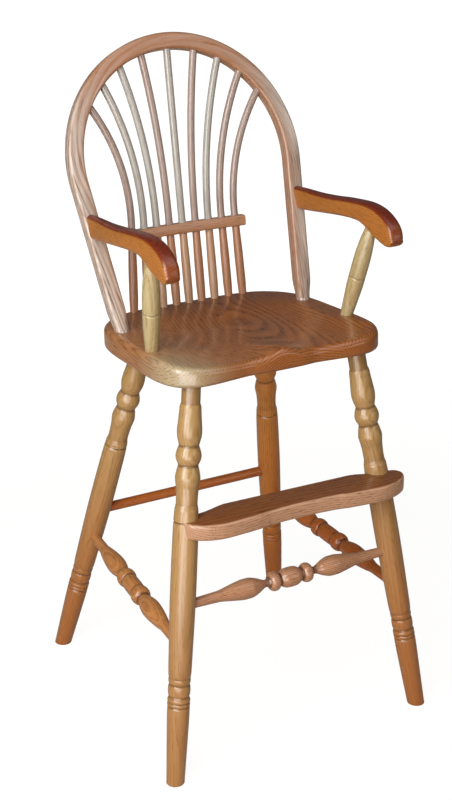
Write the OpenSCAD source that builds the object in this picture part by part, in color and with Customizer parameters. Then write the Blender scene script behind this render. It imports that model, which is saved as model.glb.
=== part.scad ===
// Child's high windsor armchair with a sheaf of bent spindles and a footrest
// Millimetres, Z up, origin on the floor midway between the four feet, front towards -Y

/* [Seat] */
// Height of the seat's top plane above the floor, at the middle of the feet
seat_h = 605; // [520:5:700]
// Backward slope of the seat, in degrees
seat_slope = 4; // [1:0.5:6]
// Greatest width of the seat
seat_w = 360; // [340:2:400]
// Depth of the seat, from its front to its back
seat_d = 314; // [300:2:350]
// Distance of the seat's front edge ahead of the origin
seat_front = 159; // [145:1:172]
// Thickness of the seat blank
seat_t = 34; // [30:1:44]
// Rounding of the top edge
seat_top_round = 10; // [5:0.5:12]
// Rounding of the bottom edge
seat_base_round = 7; // [2:0.5:10]
// Depth of the hollow sawn and scooped into the seat
dish_depth = 11; // [4:0.5:13]
// Half width of the ridge at the middle of the front edge
pommel_w = 26; // [16:1:40]
// Length over which that ridge dies away towards the back
pommel_len = 92; // [60:2:120]

/* [Legs] */
// Distance between the centres of the two front feet
front_feet_w = 426; // [390:2:460]
// Distance between the centres of the two back feet
back_feet_w = 414; // [380:2:450]
// Distance from the front feet to the back feet, centre to centre
feet_d = 433; // [400:2:470]
// Inset of the front leg sockets from the seat's sides
front_leg_side_in = 49.5; // [44:0.5:62]
// Inset of the front leg sockets from the seat's front edge
front_leg_edge_in = 36; // [32:0.5:50]
// Inset of the back leg sockets from the seat's sides
back_leg_side_in = 82; // [72:1:96]
// Inset of the back leg sockets from the seat's back edge
back_leg_edge_in = 73; // [62:1:90]
// Greatest diameter of a leg
leg_d = 37.6; // [34:0.2:42]
// Diameter of a leg where it enters the seat
leg_tenon_d = 27; // [24:0.5:28]
// Length of leg inside the seat
leg_tenon = 20; // [14:1:22]

/* [Stretchers] */
// Height of the front stretcher above the floor
front_stretcher_h = 262; // [250:1:300]
// Height of the side stretchers at the front legs
side_stretcher_front_h = 203; // [192:1:212]
// Height of the side stretchers at the back legs
side_stretcher_back_h = 217; // [200:1:230]
// Height of the back stretcher above the floor
back_stretcher_h = 264; // [252:1:300]
// Diameter of the turned barrel in the middle of a stretcher
stretcher_d = 30; // [26:0.5:34]
// Diameter of the front stretcher's ends
front_stretcher_end_d = 14.5; // [12:0.5:16]
// Diameter of the side stretchers' ends
side_stretcher_end_d = 16; // [13:0.5:18]
// Diameter of the plain back stretcher
back_stretcher_d = 16; // [13:0.5:18]
// Length of stretcher that passes the middle of a leg
stretcher_past = 5; // [2:0.5:8]

/* [Footrest] */
// Height of the footrest's top above the floor
footrest_h = 391; // [370:1:400]
// Thickness of the footrest board
footrest_t = 25; // [20:0.5:27]
// Length of the footrest board, from side to side
footrest_len = 366; // [360:2:380]
// Distance from the middle of the front legs to the board's front edge
footrest_out = 50; // [46:1:54]
// Distance that the board reaches behind the middle of the front legs
footrest_back = 12; // [10:1:18]
// Rounding of the board's edges
footrest_round = 5; // [2:0.5:6]
// Distance of the board's middle to the right of the chair's middle
footrest_shift = 11; // [0:1:12]
// Turn that brings the board's right end forwards, in degrees
footrest_turn = 1.7; // [0:0.1:2]

/* [Bow] */
// Distance of the bow's foot ahead of the seat's back edge
bow_edge_in = 101; // [92:1:108]
// Inset of the bow's outer face from the seat's side, where it would meet the seat plane
bow_side_in = 12; // [9:0.5:16]
// Backward lean of the bow from the seat's normal, in degrees
bow_lean = 18.2; // [14:0.2:22]
// Outward splay of the bow's straight legs, in degrees
bow_splay = 6.2; // [4:0.2:8]
// Height of the bow's top, measured along the bow from the seat plane
bow_h = 430; // [400:2:460]
// Width of the bent bow, seen from the front
bow_w = 24.5; // [21:0.5:28]
// Thickness of the bent bow, from front to back
bow_t = 21; // [18:0.5:25]
// Rounding of the bow's edges
bow_round = 4.5; // [2:0.5:7]
// Diameter of the bow's round tenon in the seat
bow_tenon_d = 20; // [16:0.5:21]
// Length of the bow's tenon in the seat
bow_tenon = 22; // [14:1:24]

/* [Spindles] */
// Inset of the spindle row from the seat's back edge
spindle_edge_in = 15; // [13:0.5:24]
// Distances of the spindle feet from the middle of the seat
spindle_feet = [0, 22, 45, 70, 95.5];
// Angles round the bow's arch at which the spindles end, from the top, in degrees
spindle_fan = [0, 15.2, 29.2, 43, 56.8];
// Greatest diameter of a spindle, below the bar
spindle_d = 13.8; // [12.8:0.2:15]
// Diameter of a spindle's foot in the seat
spindle_foot_d = 12.6; // [11:0.2:12.8]
// Diameter of a spindle where it passes through the bar
spindle_bar_d = 12.2; // [11:0.2:12.8]
// Diameter of a spindle above the bar
spindle_top_d = 11.2; // [10:0.2:12]
// Length of a spindle inside the seat
spindle_tenon = 18; // [12:1:22]
// Length of a spindle inside the bow
spindle_top_tenon = 12; // [8:0.5:15]

/* [Bar] */
// Height of the bar's middle, measured along the spindles
bar_h = 117; // [100:1:130]
// Distance between spindles where they pass through the bar
bar_pitch = 22.4; // [20:0.2:24]
// Height of the bar's section
bar_w = 16.5; // [14:0.5:20]
// Thickness of the bar's section
bar_t = 19; // [17:0.5:22]
// Length of the bar
bar_len = 208; // [204:1:230]
// Rounding of the bar's edges
bar_round = 3; // [1:0.5:5]

/* [Arms] */
// Height of the arm's top above the seat plane, where it meets the bow
arm_h = 169; // [150:1:190]
// Depth of the arm's end against the bow
arm_end_depth = 34.5; // [30:0.5:38]
// Distance that the arm's nose stands ahead of the seat's front edge
arm_nose_out = 12.5; // [0:0.5:25]
// Width of the arm at the bow
arm_back_w = 14.5; // [12:0.5:20]
// Width of the arm's front part
arm_front_w = 24; // [22:0.5:28]
// Distance of the arm's middle inside the seat's side, at the front
arm_side_in = 2.5; // [-8:0.5:10]
// Rounding of the arm's edges
arm_round = 4.5; // [2:0.5:6]

/* [Arm posts] */
// Inset of the post's foot from the seat's side
post_side_in = 17.5; // [15:0.5:22]
// Distance of the post's foot behind the seat's front edge
post_edge_in = 99; // [88:1:112]
// Distance of the post's top behind the arm's nose
post_nose_in = 68; // [60:1:84]
// Greatest diameter of a post
post_d = 25.5; // [22:0.5:28]
// Diameter of a post's foot in the seat
post_foot_d = 19; // [16:0.5:20]
// Diameter of a post's top in the arm
post_top_d = 16; // [13:0.5:17]
// Length of a post inside the seat, and inside the arm
post_tenon = 16; // [12:1:20]

/* [Fittings] */
// Clearance all round a tenon, a screw or a plug in its hole
fit = 0.12; // [0.08:0.01:0.25]
// Diameter of a wood screw's shank
screw_d = 4.5; // [3.5:0.5:5]
// Diameter of a wood screw's head
screw_head_d = 8; // [7:0.5:8.5]
// Length of a wood screw
screw_len = 34; // [28:1:36]
// Diameter of the wooden plugs that cover the screws
plug_d = 9.5; // [9:0.5:11]
// Length of a wooden plug
plug_len = 5; // [4:0.5:6]

/* [Hidden] */

$fn = 64;

golden_oak = "#c58b50";
seat_oak = "#8e5b38";
bent_oak = "#d9ae84";
arm_oak = "#b5602e";
post_oak = "#d8c27c";
stretcher_oak = "#a9734a";
screw_steel = "#8a8a86";

// Small length that lets one cut run past another
past = 1;

// Seat frame: origin on the seat plane, X to the right, Y up the slope to the back, Z along its normal
seat_back_y = seat_d - seat_front;
seat_normal = [0, sin(seat_slope), cos(seat_slope)];

function seat_to_part(p) = [
    p[0],
    p[1] * cos(seat_slope) + p[2] * sin(seat_slope),
    seat_h - p[1] * sin(seat_slope) + p[2] * cos(seat_slope)
];

module on_seat() {
    translate([0, 0, seat_h])
        rotate([-seat_slope, 0, 0])
            children();
}

// Places its children with Z running from one point towards another, by the shortest turn
module along(from, to) {
    d = to - from;
    heading = atan2(d[1], d[0]);
    translate(from)
        rotate([0, acos(d[2] / norm(d)), heading])
            rotate([0, 0, -heading])
                children();
}

function mix(a, b, t) = a + (b - a) * t;
function flip_x(p) = [-p[0], p[1], p[2]];
function unit(v) = v / norm(v);
function clamp01(t) = min(1, max(0, t));
function smooth01(t) = let (u = clamp01(t)) u * u * (3 - 2 * u);

// Curve through a list of points, with n steps between one and the next
function spline_point(a, b, c, d, t) =
    (2 * b + (c - a) * t + (2 * a - 5 * b + 4 * c - d) * t * t + (3 * b - a - 3 * c + d) * t * t * t) / 2;

function open_curve(p, n) = [
    for (i = [0:len(p) - 2], j = [0:n - 1])
        spline_point(p[max(i - 1, 0)], p[i], p[i + 1], p[min(i + 2, len(p) - 1)], j / n),
    p[len(p) - 1]
];

function closed_curve(p, n) = let (m = len(p)) [
    for (i = [0:m - 1], j = [0:n - 1])
        spline_point(p[(i + m - 1) % m], p[i], p[(i + 1) % m], p[(i + 2) % m], j / n)
];

// Right half of an outline, front to back, closed by its mirror image
function both_halves(half) = concat(
    half,
    [for (i = [len(half) - 2:-1:1]) [-half[i][0], half[i][1]]]
);

// Outline moved inwards by a distance that is small beside its curves
function inset(ring, gap) = let (m = len(ring)) [
    for (i = [0:m - 1])
        let (along_edge = unit(ring[(i + 1) % m] - ring[(i + m - 1) % m]))
            ring[i] + gap * [-along_edge[1], along_edge[0]]
];

// Closed skin over a stack of rings with equal numbers of points, with a tip at each end
module skin(rings, first_tip, last_tip) {
    m = len(rings[0]);
    last = len(rings) - 1;
    points = concat([for (ring = rings, p = ring) p], [first_tip, last_tip]);
    tips = (last + 1) * m;
    sides = [
        for (i = [0:last - 1], j = [0:m - 1], half = [0, 1])
            let (a = i * m + j, b = i * m + (j + 1) % m)
                half == 0 ? [a, a + m, b] : [b, a + m, b + m]
    ];
    first_end = [for (j = [0:m - 1]) [tips, j, (j + 1) % m]];
    last_end = [for (j = [0:m - 1]) [tips + 1, last * m + (j + 1) % m, last * m + j]];
    polyhedron(points, concat(sides, first_end, last_end), convexity = 6);
}

// Turning: profiles are lists of [radius, height], revolved about Z
function ease(z0, z1, r0, r1, n = 6) = [
    for (i = [0:n]) [mix(r0, r1, (1 - cos(180 * i / n)) / 2), mix(z0, z1, i / n)]
];

function bead(z0, z1, r_edge, r_middle, n = 8) = [
    for (i = [0:n])
        let (a = 180 * i / n)
            [mix(r_edge, r_middle, sin(a)), mix(z0, z1, (1 - cos(a)) / 2)]
];

// Smooth stretch through pairs of height and diameter
function turned_curve(pairs, n = 4) = open_curve([for (p = pairs) [p[1] / 2, p[0]]], n);

module turned(profile) {
    rotate_extrude()
        polygon(concat([[0, profile[0][1]]], profile, [[0, profile[len(profile) - 1][1]]]));
}

module rounded_section(w, h, r) {
    square([w, h - 2 * r], center = true);
    square([w - 2 * r, h], center = true);
    for (x = [-1, 1], y = [-1, 1])
        translate([x * (w / 2 - r), y * (h / 2 - r)])
            circle(r);
}

// Seat
// Right half of the seat's edge: share of the half width, share of the depth from the front
seat_edge = [
    [0, 0.013], [0.167, 0.014], [0.306, 0.021], [0.472, 0.010], [0.639, 0], [0.778, 0.006],
    [0.889, 0.041], [0.956, 0.099], [0.989, 0.172], [1, 0.268], [0.994, 0.379], [0.989, 0.506],
    [0.983, 0.634], [0.961, 0.745], [0.917, 0.825], [0.844, 0.889], [0.739, 0.943],
    [0.611, 0.978], [0.444, 0.994], [0.222, 0.999], [0, 1]
];
seat_edge_steps = 2;
seat_outline = closed_curve(
    both_halves([for (p = seat_edge) [p[0] * seat_w / 2, p[1] * seat_d - seat_front]]),
    seat_edge_steps
);
// Rings that cross the hollow, as shares of the way from the rim to the middle
dish_rings = [0.94, 0.86, 0.76, 0.64, 0.52, 0.4, 0.28, 0.16, 0.07];
dish_middle_y = -0.03 * seat_d;
// The hollow is wide open at the front and draws in towards the back
dish_front_half = 0.52 * seat_w;
dish_back_half = 0.38 * seat_w;
dish_side_run = 0.39 * seat_w;
dish_back_y = seat_back_y - 0.15 * seat_d;
dish_back_run = 0.3 * seat_d;

function dish(x, y) =
    let (
        from_front = clamp01((y + seat_front) / (0.35 * seat_d)),
        half = mix(dish_front_half, dish_back_half, smooth01(from_front)),
        across = sin(90 * clamp01((half - abs(x)) / mix(dish_side_run, 0.2 * seat_w, from_front))),
        lengthways = smooth01((dish_back_y - y) / dish_back_run),
        ridge_fade = smooth01((pommel_len - seat_front - y) / (0.75 * pommel_len)),
        ridge = exp(-x * x / (0.9 * pommel_w * pommel_w)) * ridge_fade
    )
    dish_depth * across * lengthways * (1 - 0.87 * ridge);

function seat_ring(gap, rise) = [
    for (p = inset(seat_outline, gap)) [p[0], p[1], rise - dish(p[0], p[1])]
];

round_steps = 4;

module seat_blank() {
    under = [
        for (i = [0:round_steps])
            let (a = 90 * i / round_steps)
                [for (p = inset(seat_outline, seat_base_round * (1 - sin(a))))
                    [p[0], p[1], -seat_t + seat_base_round * (1 - cos(a))]]
    ];
    rim = [
        for (i = [0:round_steps])
            let (a = 90 * i / round_steps)
                seat_ring(seat_top_round * (1 - cos(a)), -seat_top_round * (1 - sin(a)))
    ];
    inner_edge = inset(seat_outline, seat_top_round);
    hollow = [
        for (share = dish_rings)
            [for (p = inner_edge)
                let (x = p[0] * share, y = mix(dish_middle_y, p[1], share))
                    [x, y, -dish(x, y)]]
    ];
    middle = [0, dish_middle_y, -dish(0, dish_middle_y)];
    skin(concat(under, rim, hollow), [0, dish_middle_y, -seat_t], middle);
}

module seat() {
    color(seat_oak)
        difference() {
            on_seat()
                difference() {
                    seat_blank();
                    for (side = [-1, 1]) {
                        bow_socket(side);
                        post_socket(side);
                    }
                    for (i = [-4:4])
                        spindle_socket(i);
                }
            for (foot = feet)
                leg_socket(foot);
        }
}

// Legs
front_foot = [front_feet_w / 2, -feet_d / 2, 0];
back_foot = [back_feet_w / 2, feet_d / 2, 0];
front_leg_head = seat_to_part([seat_w / 2 - front_leg_side_in, front_leg_edge_in - seat_front, 0]);
back_leg_head = seat_to_part([seat_w / 2 - back_leg_side_in, seat_back_y - back_leg_edge_in, 0]);
feet = [
    [front_foot, front_leg_head],
    [flip_x(front_foot), flip_x(front_leg_head)],
    [back_foot, back_leg_head],
    [flip_x(back_foot), flip_x(back_leg_head)]
];

// Length of a leg's axis from the floor to the seat's underside
function leg_free(leg) =
    let (way = unit(leg[1] - leg[0]))
        norm(leg[1] - leg[0]) - seat_t / (way * seat_normal);

// Point on a leg's axis at a height above the floor
function leg_point(leg, z) = mix(leg[0], leg[1], z / leg[1][2]);

// Distance along a leg's axis for a height above the floor
function leg_reach(leg, z) = norm(leg_point(leg, z) - leg[0]);

// Taper near the foot: distance along the leg, share of the leg's diameter
leg_taper = [[6, 0.72], [36, 0.77], [68, 0.822], [100, 0.868], [116, 0.872]];
// Turned marks above the taper, as distances along the leg
ring_low = 118;
ring_split = 124.4;
ring_high = 130.5;
drum_low = 134;
drum_high = 151;
ring_top_low = 154;
ring_top_high = 161;
// Distances of the turned marks near the seat, down the leg from the seat's underside
neck_down = 172;
vase_down = 134;
vase_pinch_down = 117.5;
ball_down = 103;
ball_pinch_down = 89;
bulb_down = 68;
bulb_foot_down = 43;
collar_down = 28;

function leg_profile(free) = concat(
    [[0.705 * leg_d / 2, -leg_d / 2]],
    turned_curve([for (p = leg_taper) [p[0], p[1] * leg_d]]),
    bead(ring_low, ring_split, 0.80 * leg_d / 2, 0.885 * leg_d / 2),
    bead(ring_split, ring_high, 0.83 * leg_d / 2, 0.885 * leg_d / 2),
    bead(drum_low, drum_high, 0.79 * leg_d / 2, 0.87 * leg_d / 2),
    bead(ring_top_low, ring_top_high, 0.83 * leg_d / 2, 0.86 * leg_d / 2),
    turned_curve([
        [ring_top_high + 2, 0.855 * leg_d], [ring_top_high + 11, 0.895 * leg_d],
        [mix(ring_top_high, free - neck_down, 0.17), 0.93 * leg_d],
        [mix(ring_top_high, free - neck_down, 0.36), 0.98 * leg_d],
        [mix(ring_top_high, free - neck_down, 0.57), leg_d],
        [mix(ring_top_high, free - neck_down, 0.86), 0.965 * leg_d],
        [free - neck_down - 8, 0.90 * leg_d]
    ]),
    ease(free - neck_down - 7, free - neck_down, 0.87 * leg_d / 2, 0.815 * leg_d / 2),
    turned_curve([
        [free - neck_down + 8, 0.82 * leg_d], [free - neck_down + 22, 0.86 * leg_d],
        [free - vase_down - 6, 0.935 * leg_d], [free - vase_down, 0.95 * leg_d],
        [free - vase_down + 9, 0.865 * leg_d], [free - vase_pinch_down, 0.76 * leg_d]
    ]),
    turned_curve([
        [free - vase_pinch_down + 1, 0.765 * leg_d], [free - ball_down - 6, 0.93 * leg_d],
        [free - ball_down, 0.972 * leg_d], [free - ball_down + 7, 0.90 * leg_d],
        [free - ball_pinch_down, 0.76 * leg_d]
    ]),
    turned_curve([
        [free - ball_pinch_down + 1, 0.765 * leg_d], [free - bulb_down - 8, 0.915 * leg_d],
        [free - bulb_down, 0.945 * leg_d], [free - bulb_down + 10, 0.91 * leg_d],
        [free - bulb_foot_down, 0.84 * leg_d], [free - collar_down - 6, 0.815 * leg_d]
    ]),
    ease(free - collar_down - 5, free - collar_down, 0.80 * leg_d / 2, leg_tenon_d / 2),
    [[leg_tenon_d / 2, free + leg_tenon]]
);

// Fine line scored round every leg, where the footrest is fixed to the front ones
score_depth = 1.6;
score_w = 3;

module score_line(z) {
    translate([0, 0, z])
        rotate_extrude()
            polygon([
                [leg_d / 2 - score_depth, 0], [leg_d / 2 + past, -score_w], [leg_d / 2 + past, score_w]
            ]);
}

module leg(leg) {
    difference() {
        along(leg[0], leg[1])
            difference() {
                turned(leg_profile(leg_free(leg)));
                score_line(leg_reach(leg, footrest_h - footrest_t / 4));
            }
        // Foot sawn level with the floor
        translate([leg[0][0] - leg_d, leg[0][1] - leg_d, -2 * leg_d])
            cube([2 * leg_d, 2 * leg_d, 2 * leg_d]);
    }
}

module leg_socket(leg) {
    along(leg[0], leg[1])
        translate([0, 0, leg_free(leg) - seat_t])
            cylinder(d = leg_tenon_d + 2 * fit, h = seat_t + leg_tenon + fit);
}

module front_leg() {
    color(golden_oak)
        difference() {
            leg(feet[0]);
            stretcher_socket(front_stretcher_line, front_stretcher_end_d);
            stretcher_socket(side_stretcher_line, side_stretcher_end_d);
            footrest_screw_hole();
        }
}

module back_leg() {
    color(golden_oak)
        difference() {
            leg(feet[2]);
            stretcher_socket(back_stretcher_line, back_stretcher_d);
            stretcher_socket([side_stretcher_line[1], side_stretcher_line[0]], side_stretcher_end_d);
        }
}

module leg_front_right() {
    front_leg();
}

module leg_front_left() {
    mirror([1, 0, 0])
        front_leg();
}

module leg_back_right() {
    back_leg();
}

module leg_back_left() {
    mirror([1, 0, 0])
        back_leg();
}

// Stretchers
// Each line runs from the middle of one leg to the middle of the next, right leg or front leg first
front_stretcher_line = [
    leg_point(feet[0], front_stretcher_h), leg_point(feet[1], front_stretcher_h)
];
back_stretcher_line = [
    leg_point(feet[2], back_stretcher_h), leg_point(feet[3], back_stretcher_h)
];
side_stretcher_line = [
    leg_point(feet[0], side_stretcher_front_h), leg_point(feet[2], side_stretcher_back_h)
];

module stretcher_socket(line, end_d) {
    along(line[0], line[1])
        translate([0, 0, -stretcher_past - fit])
            cylinder(d = end_d + 2 * fit, h = leg_d + stretcher_past);
}

// Half of a turned profile, from the middle outwards, doubled about the middle
function doubled(half) = concat(
    [for (i = [len(half) - 1:-1:0]) [half[i][0], -half[i][1]]],
    half
);

module stretcher(line, half_profile) {
    along(line[0], line[1])
        translate([0, 0, norm(line[1] - line[0]) / 2])
            turned(doubled(half_profile));
}

// Barrel and bead in the middle, then a long vase that thins towards the leg
function front_stretcher_half(half) = concat(
    turned_curve([
        [0.006 * half, stretcher_d], [0.05 * half, 0.95 * stretcher_d],
        [0.085 * half, 0.75 * stretcher_d], [0.105 * half, 0.54 * stretcher_d]
    ]),
    bead(0.112 * half, 0.2 * half, 0.58 * stretcher_d / 2, 0.985 * stretcher_d / 2, 12),
    turned_curve([
        [0.212 * half, 0.44 * stretcher_d], [0.236 * half, 0.37 * stretcher_d],
        [0.262 * half, 0.47 * stretcher_d], [0.309 * half, 0.74 * stretcher_d],
        [0.371 * half, 0.985 * stretcher_d], [0.422 * half, 1.01 * stretcher_d],
        [0.461 * half, 0.99 * stretcher_d], [0.557 * half, 0.8 * stretcher_d],
        [0.652 * half, 0.59 * stretcher_d], [0.703 * half, 0.545 * stretcher_d],
        [0.8 * half, front_stretcher_end_d + 0.8], [0.87 * half, front_stretcher_end_d]
    ]),
    [[front_stretcher_end_d / 2, half + stretcher_past]]
);

// Drum between two rings in the middle, then a long vase
function side_stretcher_half(half) = concat(
    turned_curve([
        [0.006 * half, 0.885 * stretcher_d], [0.06 * half, 0.875 * stretcher_d],
        [0.094 * half, 0.84 * stretcher_d]
    ]),
    bead(0.104 * half, 0.205 * half, 0.78 * stretcher_d / 2, stretcher_d / 2, 12),
    turned_curve([
        [0.213 * half, 0.68 * stretcher_d], [0.224 * half, 0.64 * stretcher_d],
        [0.25 * half, 0.7 * stretcher_d], [0.32 * half, 0.9 * stretcher_d],
        [0.395 * half, 0.985 * stretcher_d], [0.503 * half, 0.9 * stretcher_d],
        [0.616 * half, 0.71 * stretcher_d], [0.68 * half, side_stretcher_end_d + 1.2],
        [0.8 * half, side_stretcher_end_d + 0.3], [0.87 * half, side_stretcher_end_d]
    ]),
    [[side_stretcher_end_d / 2, half + stretcher_past]]
);

module front_stretcher() {
    half = norm(front_stretcher_line[1] - front_stretcher_line[0]) / 2;
    color(stretcher_oak)
        stretcher(front_stretcher_line, front_stretcher_half(half));
}

module side_stretcher() {
    half = norm(side_stretcher_line[1] - side_stretcher_line[0]) / 2;
    color(stretcher_oak)
        stretcher(side_stretcher_line, side_stretcher_half(half));
}

module side_stretcher_right() {
    side_stretcher();
}

module side_stretcher_left() {
    mirror([1, 0, 0])
        side_stretcher();
}

module back_stretcher() {
    length = norm(back_stretcher_line[1] - back_stretcher_line[0]);
    color(stretcher_oak)
        along(back_stretcher_line[0], back_stretcher_line[1])
            translate([0, 0, -stretcher_past])
                cylinder(d = back_stretcher_d, h = length + 2 * stretcher_past);
}

// Footrest
footrest_at = leg_point(feet[0], footrest_h);
// Right half of the board's edge: share of the half length, share of the depth from the front,
// with a shallow waist in front and corners behind that are cut back to the legs
footrest_edge = [
    [0, 0.16], [0.246, 0.134], [0.328, 0.107], [0.393, 0.07], [0.486, 0.04], [0.579, 0.02],
    [0.667, 0.003], [0.74, 0.012], [0.82, 0.062], [0.874, 0.123], [0.929, 0.215],
    [0.962, 0.303], [0.989, 0.43], [1, 0.55], [0.989, 0.654], [0.967, 0.734], [0.929, 0.785],
    [0.874, 0.805], [0.82, 0.818], [0.77, 0.84], [0.721, 0.877], [0.678, 0.917],
    [0.634, 0.96], [0.59, 0.99], [0.546, 1], [0.27, 1], [0, 1]
];
footrest_outline = closed_curve(
    both_halves([
        for (p = footrest_edge) [p[0] * footrest_len / 2, mix(-footrest_out, footrest_back, p[1])]
    ]),
    2
);

// Board as it was fixed in the photographed chair, a little off the middle and turned
module footrest_board() {
    middle_y = (footrest_back - footrest_out) / 2;
    lower = [
        for (i = [0:round_steps])
            let (a = 90 * i / round_steps)
                [for (p = inset(footrest_outline, footrest_round * (1 - sin(a))))
                    [p[0], p[1], footrest_h - footrest_t + footrest_round * (1 - cos(a))]]
    ];
    upper = [
        for (i = [0:round_steps])
            let (a = 90 * i / round_steps)
                [for (p = inset(footrest_outline, footrest_round * (1 - cos(a))))
                    [p[0], p[1], footrest_h - footrest_round * (1 - sin(a))]]
    ];
    translate([footrest_shift, footrest_at[1], 0])
        rotate([0, 0, -footrest_turn])
            skin(
                concat(lower, upper),
                [0, middle_y, footrest_h - footrest_t],
                [0, middle_y, footrest_h]
            );
}

module footrest() {
    color(stretcher_oak)
        difference() {
            footrest_board();
            for (side = [0, 1])
                mirror([side, 0, 0]) {
                    // Round notch that takes the leg
                    along(feet[0][0], feet[0][1])
                        translate([0, 0, leg_reach(feet[0], footrest_h) - 3 * footrest_t])
                            cylinder(d = leg_d + 2 * fit, h = 5 * footrest_t);
                    footrest_screw_hole();
                }
        }
}

// Screws through the front legs, put in from behind and plugged
footrest_screw_z = footrest_h - footrest_t / 2;
footrest_screw_at = leg_point(feet[0], footrest_screw_z);
footrest_screw_back = leg_d / 2;

module footrest_screw_place() {
    translate(footrest_screw_at + [0, footrest_screw_back, 0])
        rotate([90, 0, 0])
            children();
}

// A screw's place has Z running into the wood from the surface that it was put in through
module screw_hole() {
    translate([0, 0, -past])
        cylinder(d = plug_d + 2 * fit, h = past + plug_len + screw_head_h + 2 * fit);
    cylinder(d = screw_d + 2 * fit, h = plug_len + screw_head_h + screw_len + 3 * fit);
}

screw_head_h = 3;

module screw() {
    translate([0, 0, plug_len + fit]) {
        cylinder(d = screw_head_d, h = screw_head_h);
        cylinder(d = screw_d, h = screw_head_h + screw_len);
    }
}

module plug() {
    cylinder(d = plug_d, h = plug_len);
}

module footrest_screw_hole() {
    footrest_screw_place()
        screw_hole();
}

module footrest_screws() {
    color(screw_steel)
        for (side = [0, 1])
            mirror([side, 0, 0])
                footrest_screw_place()
                    screw();
}

module footrest_plugs() {
    color(golden_oak)
        for (side = [0, 1])
            mirror([side, 0, 0])
                footrest_screw_place()
                    plug();
}

// Bow
// Bow frame: X to the right, Y up along the bow, Z through its thickness to the front
bow_base_y = seat_back_y - bow_edge_in;
bow_base_half = seat_w / 2 - bow_side_in;
bow_outer_r =
    let (edge = bow_base_half * cos(bow_splay))
        edge + sin(bow_splay) * (bow_h - edge) / (1 + sin(bow_splay));
bow_centre = bow_h - bow_outer_r;
bow_mid_r = bow_outer_r - bow_w / 2;
bow_inner_r = bow_outer_r - bow_w;
bow_leg_x = bow_base_half - bow_w / 2 / cos(bow_splay);

function bow_to_seat(p) = [
    p[0],
    bow_base_y + p[1] * sin(bow_lean) - p[2] * cos(bow_lean),
    p[1] * cos(bow_lean) + p[2] * sin(bow_lean)
];

// Distance of the bow's front face from the origin, at a height above the seat plane
function bow_face_y(z) = bow_base_y + z * tan(bow_lean) - bow_t / 2 / cos(bow_lean);

// Distance of a bow leg's middle from the chair's middle, at a height above the seat plane
function bow_leg_mid(z) = bow_leg_x + z / cos(bow_lean) * tan(bow_splay);

module on_bow() {
    translate([0, bow_base_y, 0])
        rotate([90 - bow_lean, 0, 0])
            children();
}

// Right bow leg, with Z running up its axis from the seat plane
module on_bow_leg() {
    on_bow()
        translate([bow_leg_x, 0, 0])
            rotate([0, 0, -bow_splay])
                rotate([-90, 0, 0])
                    children();
}

// Points round a rounded rectangle, anticlockwise from the right, with each side's middle if asked
function rounded_ring(w, h, r, middles = false) =
    let (
        corners = [[1, 1], [-1, 1], [-1, -1], [1, -1]],
        sides = [[0, h / 2], [-w / 2, 0], [0, -h / 2], [w / 2, 0]]
    )
    [
        for (i = [0:3]) each concat(
            [
                for (a = [0, 30, 60, 90])
                    [
                        corners[i][0] * (w / 2 - r) + r * cos(90 * i + a),
                        corners[i][1] * (h / 2 - r) + r * sin(90 * i + a)
                    ]
            ],
            middles ? [sides[i]] : []
        )
    ];

bow_section = rounded_ring(bow_t, bow_w, bow_round, true);

// The foot is whittled from the full section down to a round end just above the seat
function bow_foot_section(t) =
    let (full = smooth01((t - bow_foot_gap) / (bow_foot_full - bow_foot_gap)))
        [for (p = bow_section) mix(unit(p) * bow_foot_d / 2, p, full)];

// Section set across the bow: its first coordinate runs through the thickness, its second outwards
function bow_ring(middle, angle, section) = [
    for (p = section) [middle[0] + p[1] * cos(angle), middle[1] + p[1] * sin(angle), p[0]]
];

function bow_leg_rings(side) = [
    for (t = bow_foot_rings)
        bow_ring(
            [side * (bow_leg_x + t * sin(bow_splay)), t * cos(bow_splay)],
            side > 0 ? -bow_splay : 180 + bow_splay,
            bow_foot_section(t)
        )
];

function reversed(list) = [for (i = [len(list) - 1:-1:0]) list[i]];

bow_foot_gap = 0.3;
bow_foot_full = 34;
bow_foot_d = bow_tenon_d + 1.4;
bow_foot_rings = [bow_foot_gap, 6, 11, 17, 23, 29, bow_foot_full];
bow_arch_steps = 44;
bow_arch_rings = [
    for (i = [0:bow_arch_steps])
        let (a = mix(-bow_splay, 180 + bow_splay, i / bow_arch_steps))
            bow_ring([bow_mid_r * cos(a), bow_centre + bow_mid_r * sin(a)], a, bow_section)
];

module bow_hoop() {
    foot = bow_foot_gap * [sin(bow_splay), cos(bow_splay), 0];
    on_bow()
        skin(
            concat(bow_leg_rings(1), bow_arch_rings, reversed(bow_leg_rings(-1))),
            [bow_leg_x + foot[0], foot[1], 0],
            [-bow_leg_x - foot[0], foot[1], 0]
        );
}

module bow_tenon_rod() {
    on_bow_leg()
        translate([0, 0, -bow_tenon])
            cylinder(d = bow_tenon_d, h = bow_tenon + bow_foot_full / 2);
}

module bow_socket(side) {
    mirror([side < 0 ? 1 : 0, 0, 0])
        on_bow_leg()
            translate([0, 0, -bow_tenon - fit])
                cylinder(d = bow_tenon_d + 2 * fit, h = 2 * bow_tenon);
}

module bow() {
    color(bent_oak)
        on_seat()
            difference() {
                union() {
                    bow_hoop();
                    for (side = [0, 1])
                        mirror([side, 0, 0])
                            bow_tenon_rod();
                }
                for (i = [-4:4])
                    spindle_top_socket(i);
                for (side = [0, 1])
                    mirror([side, 0, 0])
                        arm_screw_place()
                            screw_hole();
            }
}

// Spindles
// Each is counted from the middle, negative to the left. Its line runs straight from the seat
// through the bar, and then bends outwards in one arc, in a plane that holds the X direction
spindle_row_y = seat_back_y - spindle_edge_in;
bend_start = bar_h + bar_w / 2 + 5;

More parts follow.
